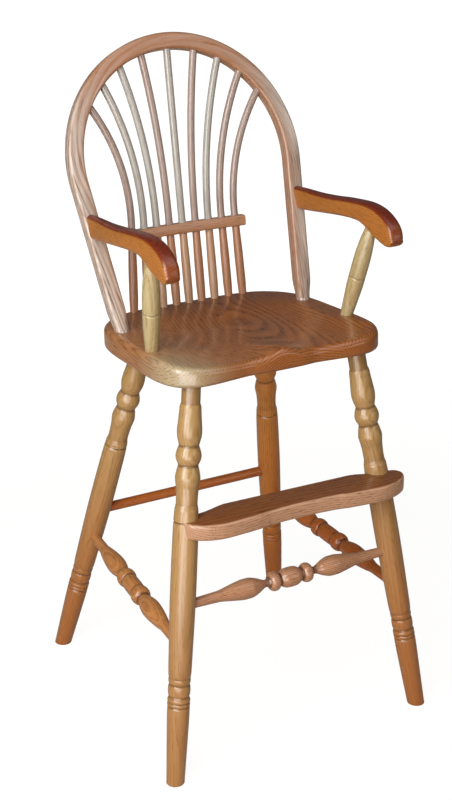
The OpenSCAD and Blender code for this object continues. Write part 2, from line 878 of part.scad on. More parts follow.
function spindle_foot(k) = [spindle_feet[k], spindle_row_y, 0];
function spindle_end(k) = bow_to_seat([
    bow_inner_r * sin(spindle_fan[k]), bow_centre + bow_inner_r * cos(spindle_fan[k]), 0
]);
function spindle_rise(k) = spindle_end(k) - spindle_foot(k);
function spindle_back(k) = atan2(spindle_rise(k)[1], spindle_rise(k)[2]);
function spindle_draw(k) = atan2(k * bar_pitch - spindle_feet[k], bar_h);

// Upper end, as its distance to the side of the straight part's axis and its height along it
function spindle_reach(k) =
    let (
        side = spindle_rise(k)[0],
        up = norm([spindle_rise(k)[1], spindle_rise(k)[2]]),
        a = spindle_draw(k)
    )
    [side * cos(a) - up * sin(a), side * sin(a) + up * cos(a)];
function bend_chord(k) = spindle_reach(k) - [0, bend_start];
function bend_r(k) = pow(norm(bend_chord(k)), 2) / (2 * bend_chord(k)[0]);
function bend_angle(k) = 2 * atan2(bend_chord(k)[0], bend_chord(k)[1]);
function bend_tenon_angle(k) = spindle_top_tenon / bend_r(k) * 180 / PI;

// Spindle's place, with Z up its straight part from the seat plane
module on_spindle(i) {
    k = abs(i);
    mirror([i < 0 ? 1 : 0, 0, 0])
        translate(spindle_foot(k))
            rotate([-spindle_back(k), 0, 0])
                rotate([0, spindle_draw(k), 0])
                    children();
}

function spindle_profile() =
    let (bar_low = bar_h - bar_w / 2, bar_high = bar_h + bar_w / 2)
    concat(
        [[spindle_foot_d / 2, -spindle_tenon]],
        turned_curve([
            [1, spindle_foot_d], [24, spindle_d], [0.55 * bar_low, spindle_d],
            [bar_low - 6, spindle_bar_d + 0.2]
        ]),
        [[spindle_bar_d / 2, bar_low - 3]],
        ease(bar_high, bend_start, spindle_bar_d / 2, spindle_top_d / 2, 4)
    );

module spindle(i) {
    k = abs(i);
    color(bent_oak)
        on_seat()
            on_spindle(i)
                if (k == 0)
                    turned(concat(
                        spindle_profile(),
                        [[spindle_top_d / 2, spindle_reach(k)[1] + spindle_top_tenon]]
                    ));
                else {
                    turned(spindle_profile());
                    translate([bend_r(k), 0, bend_start])
                        rotate([90, 0, 180])
                            rotate_extrude(angle = bend_angle(k) + bend_tenon_angle(k))
                                translate([bend_r(k), 0])
                                    circle(d = spindle_top_d);
                }
}

module spindle_socket(i) {
    on_spindle(i)
        translate([0, 0, -spindle_tenon - fit])
            cylinder(d = spindle_foot_d + 2 * fit, h = 2 * spindle_tenon);
}

// Straight bore for the end of the bent spindle, along the chord of the part inside the bow
module spindle_top_socket(i) {
    k = abs(i);
    on_spindle(i)
        translate([spindle_reach(k)[0], 0, spindle_reach(k)[1]])
            rotate([0, k == 0 ? 0 : bend_angle(k) + bend_tenon_angle(k) / 2, 0])
                translate([0, 0, -bow_w / 3])
                    cylinder(d = spindle_top_d + 2 * fit, h = bow_w / 3 + spindle_top_tenon + fit);
}

module spindle_1() { spindle(-4); }
module spindle_2() { spindle(-3); }
module spindle_3() { spindle(-2); }
module spindle_4() { spindle(-1); }
module spindle_5() { spindle(0); }
module spindle_6() { spindle(1); }
module spindle_7() { spindle(2); }
module spindle_8() { spindle(3); }
module spindle_9() { spindle(4); }

// Bar
// Its shallow curve passes through the middle spindle and the outermost ones
function bar_cross(k) = spindle_foot(k)
    + bar_h * [0, sin(spindle_back(k)), cos(spindle_back(k))]
    + [k * bar_pitch - spindle_feet[k], 0, 0];
bar_middle = bar_cross(0);
bar_sag = bar_middle[1] - bar_cross(4)[1];
bar_r = (pow(bar_cross(4)[0], 2) + bar_sag * bar_sag) / (2 * bar_sag);
bar_half_angle = asin(bar_len / 2 / bar_r);

module spindle_bar() {
    color(arm_oak)
        on_seat()
            difference() {
                translate(bar_middle)
                    rotate([-spindle_back(0), 0, 0])
                        translate([0, -bar_r, 0])
                            rotate([0, 0, 90 - bar_half_angle])
                                rotate_extrude(angle = 2 * bar_half_angle)
                                    translate([bar_r, 0])
                                        rounded_section(bar_t, bar_w, bar_round);
                for (i = [-4:4])
                    on_spindle(i)
                        translate([0, 0, bar_h - bar_w])
                            cylinder(d = spindle_bar_d + 2 * fit, h = 2 * bar_w);
            }
}

// Arms
arm_nose_y = -seat_front - arm_nose_out;
arm_front_x = seat_w / 2 - arm_side_in;
arm_len = bow_face_y(arm_h) - fit - arm_nose_y;
arm_under_h = arm_h - arm_end_depth;
// Sawn shape, from behind the joint to the nose: along the top edge and along the underside,
// each as a share of the arm's length from the bow, and a height above the arm's top at the bow
// as a share of the depth of its end
arm_shape = [
    [0.116, 0.009, 0.143, -0.951], [0.265, -0.006, 0.256, -0.87],
    [0.415, 0.035, 0.4, -0.768], [0.508, 0.096, 0.512, -0.704],
    [0.594, 0.136, 0.594, -0.684], [0.695, 0.171, 0.677, -0.713],
    [0.759, 0.159, 0.737, -0.858], [0.808, 0.113, 0.782, -1.014],
    [0.853, 0.035, 0.819, -1.157], [0.905, -0.122, 0.856, -1.264],
    [0.95, -0.342, 0.893, -1.357], [0.982, -0.597, 0.926, -1.42],
    [0.998, -0.884, 0.955, -1.426], [1.002, -1.113, 0.981, -1.351]
];
// Share of the arm's length over which it widens from its back to its front width
arm_flare = 0.55;
arm_nose_taper = [0.955, 0.8];

function arm_along(share) = bow_face_y(arm_h) - fit - share * arm_len;

function arm_half_w(share) =
    let (
        flared = mix(arm_back_w, arm_front_w, smooth01(share / arm_flare)),
        nose = smooth01((share - arm_nose_taper[0]) / (1.02 - arm_nose_taper[0]))
    )
    flared / 2 * mix(1, arm_nose_taper[1], nose);

function arm_mid_x(share) = mix(bow_leg_mid(arm_h), arm_front_x, smooth01(share / arm_flare));

// Rounded section between a point of the top edge and a point of the underside
function arm_ring(top, under, x, half_w) =
    let (
        middle = (top + under) / 2,
        half_h = norm(top - under) / 2,
        way = unit(top - under),
        section = rounded_ring(2 * half_w, 2 * half_h, min(arm_round, half_h * 0.9))
    )
    [for (p = section) [x + p[0], middle[0] + p[1] * way[0], middle[1] + p[1] * way[1]]];

arm_stations = concat(
    [[[bow_face_y(arm_h) - fit, arm_h], [bow_face_y(arm_under_h) - fit, arm_under_h], 0]],
    [
        for (p = arm_shape)
            [
                [arm_along(p[0]), arm_h + p[1] * arm_end_depth],
                [arm_along(p[2]), arm_h + p[3] * arm_end_depth],
                (p[0] + p[2]) / 2
            ]
    ]
);

function arm_ring_at(s) = arm_ring(s[0], s[1], arm_mid_x(s[2]), arm_half_w(s[2]));

module arm_blank() {
    last = arm_stations[len(arm_stations) - 1];
    first = arm_stations[0];
    first_middle = (first[0] + first[1]) / 2;
    last_middle = (last[0] + last[1]) / 2;
    skin(
        [for (s = arm_stations) arm_ring_at(s)],
        [arm_mid_x(first[2]), first_middle[0], first_middle[1]],
        [arm_mid_x(last[2]), last_middle[0] - 1.5, last_middle[1] - 1]
    );
}

module arm() {
    color(arm_oak)
        on_seat()
            difference() {
                arm_blank();
                along(post_foot, post_head)
                    translate([0, 0, post_free - seat_t / 2])
                        cylinder(
                            d = post_top_d + 2 * fit, h = seat_t / 2 + post_tenon + fit
                        );
                arm_screw_place()
                    screw_hole();
            }
}

module arm_right() {
    arm();
}

module arm_left() {
    mirror([1, 0, 0])
        arm();
}

// Screws through the bow's legs into the ends of the arms, put in from behind and plugged
arm_screw_z = arm_h - arm_end_depth / 2;

module arm_screw_place() {
    translate([bow_leg_mid(arm_screw_z), bow_face_y(arm_screw_z) + bow_t / cos(bow_lean), arm_screw_z])
        rotate([90 - bow_lean, 0, 0])
            children();
}

module arm_screws() {
    color(screw_steel)
        on_seat()
            for (side = [0, 1])
                mirror([side, 0, 0])
                    arm_screw_place()
                        screw();
}

module arm_plugs() {
    color(bent_oak)
        on_seat()
            for (side = [0, 1])
                mirror([side, 0, 0])
                    arm_screw_place()
                        plug();
}

// Arm posts
post_foot = [seat_w / 2 - post_side_in, post_edge_in - seat_front, 0];
arm_underside = [for (i = [len(arm_stations) - 1:-1:0]) arm_stations[i][1]];
post_head_y = arm_nose_y + post_nose_in;
post_head = [arm_front_x, post_head_y, lookup(post_head_y, arm_underside)];
post_free = norm(post_head - post_foot);

post_score_depth = 1;

function post_profile(free) = concat(
    [[post_foot_d / 2, -post_tenon]],
    turned_curve([
        [1, post_foot_d], [0.14 * free, 0.845 * post_d], [0.2 * free, 0.885 * post_d],
        [0.33 * free, 0.975 * post_d], [0.436 * free, 0.99 * post_d]
    ]),
    // Line scored round the post a little below its middle
    [[0.99 * post_d / 2 - post_score_depth, 0.445 * free]],
    turned_curve([
        [0.454 * free, 0.99 * post_d], [0.61 * free, post_d], [0.75 * free, 0.94 * post_d],
        [0.88 * free, 0.81 * post_d], [0.97 * free, post_top_d + 0.6]
    ]),
    [[post_top_d / 2, free - 2], [post_top_d / 2, free + post_tenon]]
);

module post_socket(side) {
    mirror([side < 0 ? 1 : 0, 0, 0])
        along(post_foot, post_head)
            translate([0, 0, -post_tenon - fit])
                cylinder(d = post_foot_d + 2 * fit, h = 2 * post_tenon);
}

module arm_post() {
    color(post_oak)
        on_seat()
            along(post_foot, post_head)
                turned(post_profile(post_free));
}

module arm_post_right() {
    arm_post();
}

module arm_post_left() {
    mirror([1, 0, 0])
        arm_post();
}

seat();
leg_front_left();
leg_front_right();
leg_back_left();
leg_back_right();
front_stretcher();
side_stretcher_left();
side_stretcher_right();
back_stretcher();
footrest();
bow();
spindle_bar();
spindle_1();
spindle_2();
spindle_3();
spindle_4();
spindle_5();
spindle_6();
spindle_7();
spindle_8();
spindle_9();
arm_left();
arm_right();
arm_post_left();
arm_post_right();
arm_screws();
arm_plugs();
footrest_screws();
footrest_plugs();
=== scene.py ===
import math
import random

import bmesh
import bpy
from mathutils import Matrix, Vector


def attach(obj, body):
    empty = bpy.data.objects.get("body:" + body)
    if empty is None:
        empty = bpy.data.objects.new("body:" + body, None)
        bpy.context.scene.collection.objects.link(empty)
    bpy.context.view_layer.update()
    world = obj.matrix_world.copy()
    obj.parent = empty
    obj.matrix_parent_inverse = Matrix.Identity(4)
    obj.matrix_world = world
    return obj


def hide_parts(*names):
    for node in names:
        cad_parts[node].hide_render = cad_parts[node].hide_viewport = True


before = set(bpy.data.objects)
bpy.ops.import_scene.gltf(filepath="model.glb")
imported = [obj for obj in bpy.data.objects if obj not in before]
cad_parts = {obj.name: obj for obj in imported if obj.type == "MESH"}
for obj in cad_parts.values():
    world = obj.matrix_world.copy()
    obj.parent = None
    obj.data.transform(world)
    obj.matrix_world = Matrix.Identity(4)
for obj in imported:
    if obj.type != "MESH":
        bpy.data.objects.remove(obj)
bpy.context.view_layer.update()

mm = 0.001


# Curves and outlines, all in millimetres

def mix(a, b, t):
    return a + (b - a) * t


def clamped(t):
    return min(1.0, max(0.0, t))


def smooth01(t):
    t = clamped(t)
    return t * t * (3 - 2 * t)


def splinePoint(a, b, c, d, t):
    return tuple(
        (2 * q + (r - p) * t + (2 * p - 5 * q + 4 * r - s) * t * t + (3 * q - p - 3 * r + s) * t ** 3) / 2
        for p, q, r, s in zip(a, b, c, d)
    )


# Smooth curve through a list of points
def openCurve(points, steps):
    last = len(points) - 1
    out = []
    for i in range(last):
        before, after = points[max(i - 1, 0)], points[min(i + 2, last)]
        out += [splinePoint(before, points[i], points[i + 1], after, j / steps) for j in range(steps)]
    return out + [tuple(points[last])]


def closedCurve(points, steps):
    m = len(points)
    return [
        splinePoint(points[i - 1], points[i], points[(i + 1) % m], points[(i + 2) % m], j / steps)
        for i in range(m) for j in range(steps)
    ]


def bothHalves(half):
    return list(half) + [(-x, y) for x, y in reversed(half[1:-1])]


# Outline moved inwards, for one that runs anticlockwise
def inset(ring, gap):
    out = []
    for i, p in enumerate(ring):
        edge = Vector(ring[(i + 1) % len(ring)]) - Vector(ring[i - 1])
        edge.normalize()
        out.append((p[0] - edge.y * gap, p[1] + edge.x * gap))
    return out


# Rings round the eased edge of a board, from its flat face at a level out to its side
def easedEdge(outline, level, radius, way, steps):
    rings = []
    for i in range(steps + 1):
        a = math.pi / 2 * i / steps
        z = level + way * radius * (1 - math.cos(a))
        rings.append([(x, y, z) for x, y in inset(outline, radius * (1 - math.sin(a)))])
    return rings


# Points round a rounded rectangle, anticlockwise, with the middle of each side
def roundedRing(width, height, radius, steps):
    ring = []
    corners = ((1, 1), (-1, 1), (-1, -1), (1, -1))
    sides = ((0, height / 2), (-width / 2, 0), (0, -height / 2), (width / 2, 0))
    for i, (sx, sy) in enumerate(corners):
        for j in range(steps + 1):
            a = math.radians(90 * (i + j / steps))
            ring.append((sx * (width / 2 - radius) + radius * math.cos(a),
                         sy * (height / 2 - radius) + radius * math.sin(a)))
        ring.append(sides[i])
    return ring


# Meshes

# Mesh object in metres from rings in millimetres, closed to a tip at each end.
# The wood attribute holds each point's place in the plank that it was cut from, grain along Z
def skinPiece(name, rings, tips, wood=None, stain=None, groove=None, creaseAngle=38):
    m = len(rings[0])
    last = len(rings) - 1
    points = [p for ring in rings for p in ring] + list(tips)
    tip = (last + 1) * m
    faces = [
        (i * m + j, i * m + (j + 1) % m, (i + 1) * m + (j + 1) % m, (i + 1) * m + j)
        for i in range(last) for j in range(m)
    ]
    faces += [(tip, (j + 1) % m, j) for j in range(m)]
    faces += [(tip + 1, last * m + j, last * m + (j + 1) % m) for j in range(m)]
    mesh = bpy.data.meshes.new(name)
    mesh.from_pydata([tuple(c * mm for c in p) for p in points], [], faces)
    if wood:
        flat = [c * mm for p in wood for c in p]
        mesh.attributes.new("wood", "FLOAT_VECTOR", "POINT").data.foreach_set("vector", flat)
    for label, values in (("stain", stain), ("groove", groove)):
        if values:
            mesh.attributes.new(label, "FLOAT", "POINT").data.foreach_set("value", values)
    return finishMesh(name, mesh, creaseAngle)


# Smooth shading, with edges sharper than the angle left as creases
def finishMesh(name, mesh, creaseAngle):
    work = bmesh.new()
    work.from_mesh(mesh)
    bmesh.ops.recalc_face_normals(work, faces=work.faces)
    for face in work.faces:
        face.smooth = True
    for edge in work.edges:
        if len(edge.link_faces) == 2 and edge.calc_face_angle(0) > math.radians(creaseAngle):
            edge.smooth = False
    work.to_mesh(mesh)
    work.free()
    return linked(name, mesh)


def linked(name, data):
    thing = bpy.data.objects.new(name, data)
    bpy.context.collection.objects.link(thing)
    return thing


# Gives a finished piece its material, hides the CAD node that it stands for, and hangs it under the root
def place(piece, node, material):
    piece.data.materials.clear()
    piece.data.materials.append(material)
    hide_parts(node)
    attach(piece, "root")


# Lays Z along the way from start to end, by the shortest turn
def alongMatrix(start, end):
    turn = Vector((0, 0, 1)).rotation_difference(end - start)
    return Matrix.Translation(start) @ turn.to_matrix().to_4x4()


# Materials

def srgb(hexText):
    values = [int(hexText[i:i + 2], 16) / 255 for i in (1, 3, 5)]
    return tuple(v / 12.92 if v <= 0.04045 else ((v + 0.055) / 1.055) ** 2.4 for v in values) + (1.0,)


# Adds one node: inputs by socket name or number, as a value or a linked socket, a ramp's stops from
# low to high, and settings by name. It returns the output that is asked for, or else the node
def addNode(tree, kind, inputs=None, out=None, stops=(), **settings):
    node = tree.nodes.new(kind)
    for key, value in settings.items():
        setattr(node, key, value)
    for key, value in (inputs or {}).items():
        if isinstance(value, bpy.types.NodeSocket):
            tree.links.new(value, node.inputs[key])
        else:
            node.inputs[key].default_value = value
    for i, (position, value) in enumerate(stops):
        ramp = node.color_ramp.elements
        stop = ramp[i] if i < len(ramp) else ramp.new(position)
        stop.position = position
        stop.color = srgb(value) if isinstance(value, str) else (value, value, value, 1.0)
    return node if out is None else node.outputs[out]


def emptyTree(owner):
    owner.use_nodes = True
    owner.node_tree.nodes.clear()
    return owner.node_tree


oakGrain = {
    "ringPitch": 3.2,        # mm between growth rings
    "ringDrift": 7.0,        # mm that the rings wander
    "driftWidth": 55.0,      # mm across one wander of the rings
    "driftLength": 420.0,    # mm along the grain for the same
    "poreWidth": 0.9,        # mm, drawn about twice as coarse as oak's pores, so that they show
    "poreLength": 16.0,      # mm
    "fibreWidth": 1.6,       # mm
    "fibreLength": 70.0,     # mm
    "flameWidth": 60.0,      # mm across a light or dark patch of the plank
    "flameLength": 260.0,    # mm
    "rayWidth": 0.8,         # mm
    "rayLength": 11.0,       # mm
    # share of open early wood from one ring to the next
    "ringStops": ((0.0, 0.75), (0.16, 1.0), (0.42, 0.35), (0.62, 0.06), (0.9, 0.0), (1.0, 0.7)),
    # where the noise turns into pores and rays, and where it turns from dark to light wood
    "poreStops": ((0.55, 0.0), (0.66, 1.0)),
    "rayStops": ((0.62, 0.0), (0.72, 1.0)),
    "flameFrom": (0.1875, 0.8125),
    "fibreFrom": (0.3, 0.7),
}
oakBase = {
    # how strongly each feature shows
    "ringStrength": 0.5, "flameStrength": 0.5, "fibreStrength": 0.5, "poreStrength": 0.7, "rayStrength": 0.12,
    "fibreLow": 0.72,        # brightness of the darkest fibres
    "latePores": 0.25,       # share of the pores that late wood has
    "stain": 0.75, "groove": 0.8,
    "roughness": 0.45, "poreRoughness": 0.25,
    "specular": 0.12,        # low, because the varnish on the wood reflects instead
    "ior": 1.5, "coat": 0.9, "coatRoughness": 0.2,
    "bump": 0.25, "bumpHeight": 0.12, "poreDepth": 0.8,
}


# Varnished red oak: ring-porous wood whose early rings are open and take the stain,
# under two rubbed coats of clear varnish that leave the pores just readable
def makeOak(finish, woodFrame=None, boards=None, lightAndShadePatches=(), grain=None, **changes):
    look = dict(oakBase, **changes)
    size = dict(oakGrain, **(grain or {}))
    material = bpy.data.materials.new("varnished red oak, " + finish)
    tree = emptyTree(material)

    # Place in the plank, in millimetres, with the grain along Z
    if woodFrame:
        source = addNode(tree, "ShaderNodeMapping", {
            "Vector": addNode(tree, "ShaderNodeTexCoord", out="Object"),
            "Rotation": woodFrame["turn"], "Location": [c * mm for c in woodFrame["pith"]],
        }, "Vector")
    else:
        source = addNode(tree, "ShaderNodeAttribute", out="Vector", attribute_name="wood")
    panel = addNode(tree, "ShaderNodeVectorMath", {0: source, "Scale": 1 / mm}, 0, operation="SCALE")
    plank = splitBoards(tree, panel, boards) if boards else panel

    # Noise that is drawn out along the grain, at the width and length of a feature
    def drawnOut(feature, detail, rough=0.5, vector=plank, out=0):
        across, along = 1 / size[feature + "Width"], 1 / size[feature + "Length"]
        shrunk = addNode(tree, "ShaderNodeVectorMath", {
            0: vector, 1: (across, across, along)
        }, 0, operation="MULTIPLY")
        return addNode(tree, "ShaderNodeTexNoise", {
            "Vector": shrunk, "Scale": 1.0, "Detail": detail, "Roughness": rough
        }, out)

    # Rings, which wander slowly along the plank
    wander = drawnOut("drift", 1.5, out="Color")
    centred = addNode(tree, "ShaderNodeVectorMath", {
        0: wander, 1: (0.5, 0.5, 0.5)
    }, 0, operation="SUBTRACT")
    moved = addNode(tree, "ShaderNodeVectorMath", {
        0: centred, 1: (2 * size["ringDrift"],) * 3, 2: plank
    }, 0, operation="MULTIPLY_ADD")
    flat = addNode(tree, "ShaderNodeVectorMath", {0: moved, 1: (1, 1, 0)}, 0, operation="MULTIPLY")
    radius = addNode(tree, "ShaderNodeVectorMath", {0: flat}, "Value", operation="LENGTH")
    rings = addNode(tree, "ShaderNodeMath", {0: radius, 1: 1 / size["ringPitch"]}, 0, operation="MULTIPLY")
    phase = addNode(tree, "ShaderNodeMath", {0: rings}, 0, operation="FRACT")
    early = addNode(tree, "ShaderNodeValToRGB", {0: phase}, 0, size["ringStops"])

    # Fibres, pores, rays and the plank's broad lights and darks
    fibre = drawnOut("fibre", 3.0, 0.6)
    fibreStops = tuple(zip(size["fibreFrom"], (look["fibreLow"], 1.0)))
    fibreTone = addNode(tree, "ShaderNodeValToRGB", {0: fibre}, 0, fibreStops)
    pores = addNode(tree, "ShaderNodeValToRGB", {0: drawnOut("pore", 1.0)}, 0, size["poreStops"])
    poreShare = addNode(tree, "ShaderNodeMath", {
        0: early, 1: 1 - look["latePores"], 2: look["latePores"]
    }, 0, operation="MULTIPLY_ADD", use_clamp=True)
    poreMask = addNode(tree, "ShaderNodeMath", {0: pores, 1: poreShare}, 0, operation="MULTIPLY")
    rayNoise = drawnOut("ray", 0.5, vector=moved)
    rays = addNode(tree, "ShaderNodeValToRGB", {0: rayNoise}, 0, size["rayStops"])
    low, high = size["flameFrom"]
    flame = addNode(tree, "ShaderNodeMapRange", {
        "Value": drawnOut("flame", 2.5, 0.55), "From Min": low, "From Max": high
    }, 0)

    # Lays a colour over the wood's own, where the mask is
    def laidOver(wood, mask, strength, color):
        share = addNode(tree, "ShaderNodeMath", {
            0: mask, 1: strength
        }, 0, operation="MULTIPLY", use_clamp=True)
        return addNode(tree, "ShaderNodeMix", {0: share, 6: wood, 7: srgb(color)}, 2, data_type="RGBA")

    body = laidOver(srgb(look["late"]), early, look["ringStrength"], look["early"])
    body = laidOver(body, flame, look["flameStrength"], look["flame"])
    # Painted highlights and painted shade in parts of a panel, under its fibres and pores
    for lightAndShadePatch in lightAndShadePatches:
        fades = {}
        for i, (axis, side) in enumerate((("X", "across"), ("Z", "along"))):
            spot = addNode(tree, "ShaderNodeSeparateXYZ", {0: panel}, axis)
            fades[i] = addNode(tree, "ShaderNodeMapRange", {
                "Value": spot, "From Min": lightAndShadePatch[side][0], "From Max": lightAndShadePatch[side][1]
            }, 0, interpolation_type="SMOOTHSTEP")
        mask = addNode(tree, "ShaderNodeMath", fades, 0, operation="MULTIPLY")
        body = laidOver(body, mask, lightAndShadePatch["strength"], lightAndShadePatch["color"])
    body = addNode(tree, "ShaderNodeMix", {
        0: look["fibreStrength"], 6: body, 7: fibreTone
    }, 2, data_type="RGBA", blend_type="MULTIPLY")
    body = laidOver(body, poreMask, look["poreStrength"], look["pore"])
    body = laidOver(body, rays, look["rayStrength"], look["ray"])
    # A deeper colour in places, painted shade on the legs and on the bow's inner faces, and darker turned
    # grooves
    for label, color in (("stain", look.get("stainColor")), ("groove", look["pore"])):
        if color:
            mask = addNode(tree, "ShaderNodeAttribute", out="Fac", attribute_name=label)
            body = laidOver(body, mask, look[label], color)
    # Painted shade by facing: the top colour darkens upward faces and the end colour forward faces
    # On the arms' noses the end colour is partly the end grain's deeper stain, partly painted shade and a
    # painted pinkish sheen
    bodyBeforeFacingShade = body
    for label, axis in (("top", "Z"), ("end", "Y")):
        if label in look:
            normal = addNode(tree, "ShaderNodeTexCoord", out="Normal")
            facing = addNode(tree, "ShaderNodeSeparateXYZ", {0: normal}, axis)
            low, high = look[label + "From"]
            share = addNode(tree, "ShaderNodeMapRange", {
                "Value": facing, "From Min": low, "From Max": high
            }, 0, interpolation_type="SMOOTHSTEP")
            tone = addNode(tree, "ShaderNodeMix", {
                0: 1.0, 6: bodyBeforeFacingShade, 7: srgb(look[label])
            }, 2, data_type="RGBA", blend_type="MULTIPLY")
            body = addNode(tree, "ShaderNodeMix", {0: share, 6: body, 7: tone}, 2, data_type="RGBA")

    height = addNode(tree, "ShaderNodeMath", {
        0: poreMask, 1: -look["poreDepth"], 2: fibre
    }, 0, operation="MULTIPLY_ADD")
    bump = addNode(tree, "ShaderNodeBump", {
        "Height": height, "Strength": look["bump"], "Distance": look["bumpHeight"] * mm
    }, 0)
    roughness = addNode(tree, "ShaderNodeMath", {
        0: poreMask, 1: look["poreRoughness"], 2: look["roughness"]
    }, 0, operation="MULTIPLY_ADD", use_clamp=True)
    shader = addNode(tree, "ShaderNodeBsdfPrincipled", {
        "Base Color": body, "Roughness": roughness, "Normal": bump,
        "Specular IOR Level": look["specular"], "IOR": look["ior"],
        "Coat Weight": look["coat"], "Coat Roughness": look["coatRoughness"], "Coat IOR": look["ior"]
    }, 0)
    addNode(tree, "ShaderNodeOutputMaterial", {"Surface": shader})
    return material


# A glued-up panel: each board has its own pith, so its figure stops at the glue line
def splitBoards(tree, plank, boards):
    parts = addNode(tree, "ShaderNodeSeparateXYZ", {0: plank}).outputs
    across = addNode(tree, "ShaderNodeMath", {
        0: parts["X"], 1: 1 / boards["width"], 2: boards["shift"]
    }, 0, operation="MULTIPLY_ADD")
    index = addNode(tree, "ShaderNodeMath", {0: across}, 0, operation="FLOOR")
    within = addNode(tree, "ShaderNodeMath", {0: across}, 0, operation="FRACT")
    chance = addNode(tree, "ShaderNodeTexWhiteNoise", {"W": index}, "Color", noise_dimensions="1D")
    offset = addNode(tree, "ShaderNodeVectorMath", {
        0: chance, 1: boards["scatter"], 2: boards["base"]
    }, 0, operation="MULTIPLY_ADD")
    local = addNode(tree, "ShaderNodeMath", {0: within, 1: boards["width"]}, 0, operation="MULTIPLY")
    joined = addNode(tree, "ShaderNodeCombineXYZ", {"X": local, "Y": parts["Y"], "Z": parts["Z"]}, 0)
    return addNode(tree, "ShaderNodeVectorMath", {0: joined, 1: offset}, 0, operation="ADD")


# Legs: straw gold, with painted shade that turns darker and rustier towards the feet. The back right one has
# a redder copy of the wood, painted lighter to make up for the shade it stands in
legStain = {"ringStrength": 0.38, "poreStrength": 0.55, "stainColor": "#9f5112"}
goldenOak = makeOak("golden stain", **legStain,
    late="#b69461", early="#8c6433", flame="#9c7640", pore="#5c3915", ray="#bda069")
rustOak = makeOak("rust stain", **legStain,
    late="#d58e3d", early="#a45f1c", flame="#b77026", pore="#61340d", ray="#da9b40")
# Stretchers: brown on the left, deep amber at the back, rosy in front, and the darker amber on the right as
# painted shade
brownOak = makeOak("brown stain",
    late="#c2844d", early="#8b5529", flame="#a36b33", pore="#51311b", ray="#ca8d53")
amberOak = makeOak("amber stain",
    late="#bc682b", early="#864114", flame="#9d551b", pore="#4f280e", ray="#c57434")
stretcherOak = makeOak("rosy stretcher",
    late="#bf8e6b", early="#8e5c3f", flame="#a37252", pore="#573522", ray="#c99c7d")
# Steam-bent bow: pale straight-grained wood with long dark pores, darker and warmer over the arch, with
# painted shade and painted warm bounce light on its inner faces
bowOak = makeOak("bent bow",
    late="#d5c6bb", early="#a7856d", flame="#bfa594", pore="#6a4a35", ray="#e2dcd4", stainColor="#9c5e28",
    ringStrength=0.95, poreStrength=0.95, fibreStrength=0.85, fibreLow=0.5, coat=0.75, coatRoughness=0.3,
    grain={"ringPitch": 5.0, "poreWidth": 1.5, "poreLength": 34.0, "ringDrift": 10.0,
           "fibreWidth": 3.2, "fibreLength": 60.0})
# Spindles: shaved from two planks, a cool grey one and a rosy one, both warmer below the bar
greyOak = makeOak("pale spindle", stain=0.65, stainColor="#b87e48",
    late="#b1ada7", early="#908576", flame="#a49a8e", pore="#6a5744", ray="#bdbdbb")
pinkOak = makeOak("pink spindle", stain=0.7, stainColor="#a86a36",
    late="#ab988e", early="#85685b", flame="#94786b", pore="#5b3a2b", ray="#b9a8a3")
# Arm posts: the straw colour of sapwood under clear varnish
postOak = makeOak("straw coloured",
    late="#baa97f", early="#9e8654", flame="#aa9264", pore="#70572e", ray="#c5b791")

turnX = (0.0, math.radians(-90), 0.0)       # grain along X
turnY = (math.radians(90), 0.0, 0.0)        # grain along Y
# Seat: glued flat-sawn boards with broad arched rings, the darkest and smoothest of the wood,
# with painted highlights on the left and at the front left corner, painted shade at the back right, and faint
# painted shade on top
seatOak = makeOak("flat-sawn seat boards",
    late="#ab6935", early="#733c17", flame="#874b1c", pore="#411f0c", ray="#b4753c",
    ringStrength=0.7, fibreStrength=0.55, poreStrength=0.85, coatRoughness=0.18, bump=0.12,
    top="#fffaf0", topFrom=(0.8, 0.97),
    grain={"ringPitch": 3.6, "poreWidth": 1.1, "poreLength": 40.0, "ringDrift": 5.0, "driftLength": 300.0},
    lightAndShadePatches=(
        # a painted highlight on the left, painted shade at the back right, a painted highlight at the front
        # left corner
        {"color": "#b48a60", "across": (0.0, -150.0), "along": (-400.0, -300.0), "strength": 0.3},
        {"color": "#4e2410", "across": (-120.0, -20.0), "along": (10.0, 130.0), "strength": 0.42},
        {"color": "#b1a88a", "across": (-72.0, -165.0), "along": (-30.0, -150.0), "strength": 0.75},
    ),
    woodFrame={"turn": turnY, "pith": (0, 0, 0)},
    boards={"width": 92.0, "shift": -0.04, "scatter": (420.0, 160.0, 900.0), "base": (-260.0, 330.0, 0.0)})
# Arms: russet on the sawn sides, with painted shade that makes the tops redder and darker, and on the noses
# the end grain's deeper stain with painted shade and a painted rosy sheen
armOak = makeOak("russet stain",
    late="#ba7731", early="#874b1d", flame="#9f5f26", pore="#502608", ray="#c3813f",
    coat=0.7, coatRoughness=0.24, top="#a45f48", topFrom=(0.15, 0.6), end="#c6a2b0", endFrom=(-0.45, -0.9),
    woodFrame={"turn": turnY, "pith": (-120, 0, 0)})
# Spindle bar: plain rosy brown, quiet beside the pale spindles
barOak = makeOak("bar",
    late="#bd8c69", early="#946244", flame="#a87856", pore="#5f3921", ray="#c49773",
    woodFrame={"turn": turnX, "pith": (0, 40, 0)})
# Footrest: pale edges and a browner top, where painted shade darkens the upward faces
boardOak = makeOak("footrest board",
    late="#c69a7a", early="#93674a", flame="#ae8060", pore="#533521", ray="#cea888",
    poreStrength=0.8, coat=0.7, top="#b4906c", topFrom=(0.8, 0.97),
    woodFrame={"turn": turnX, "pith": (0, 0, -330)})
# Plugs over the screws, close in colour to the wood round them
plugOak = makeOak("plug",
    late="#c08f5c", early="#a06d3c", flame="#b07d4a", pore="#6a421f", ray="#cda26c",
    woodFrame={"turn": turnX, "pith": (0, 60, 0)})

steel = {
    "cloud": 2.5,            # mm across a cloud in the plating
    "colors": ((0.3, "#7f807e"), (0.7, "#93938f")), "roughness": (0.28, 0.42),
}


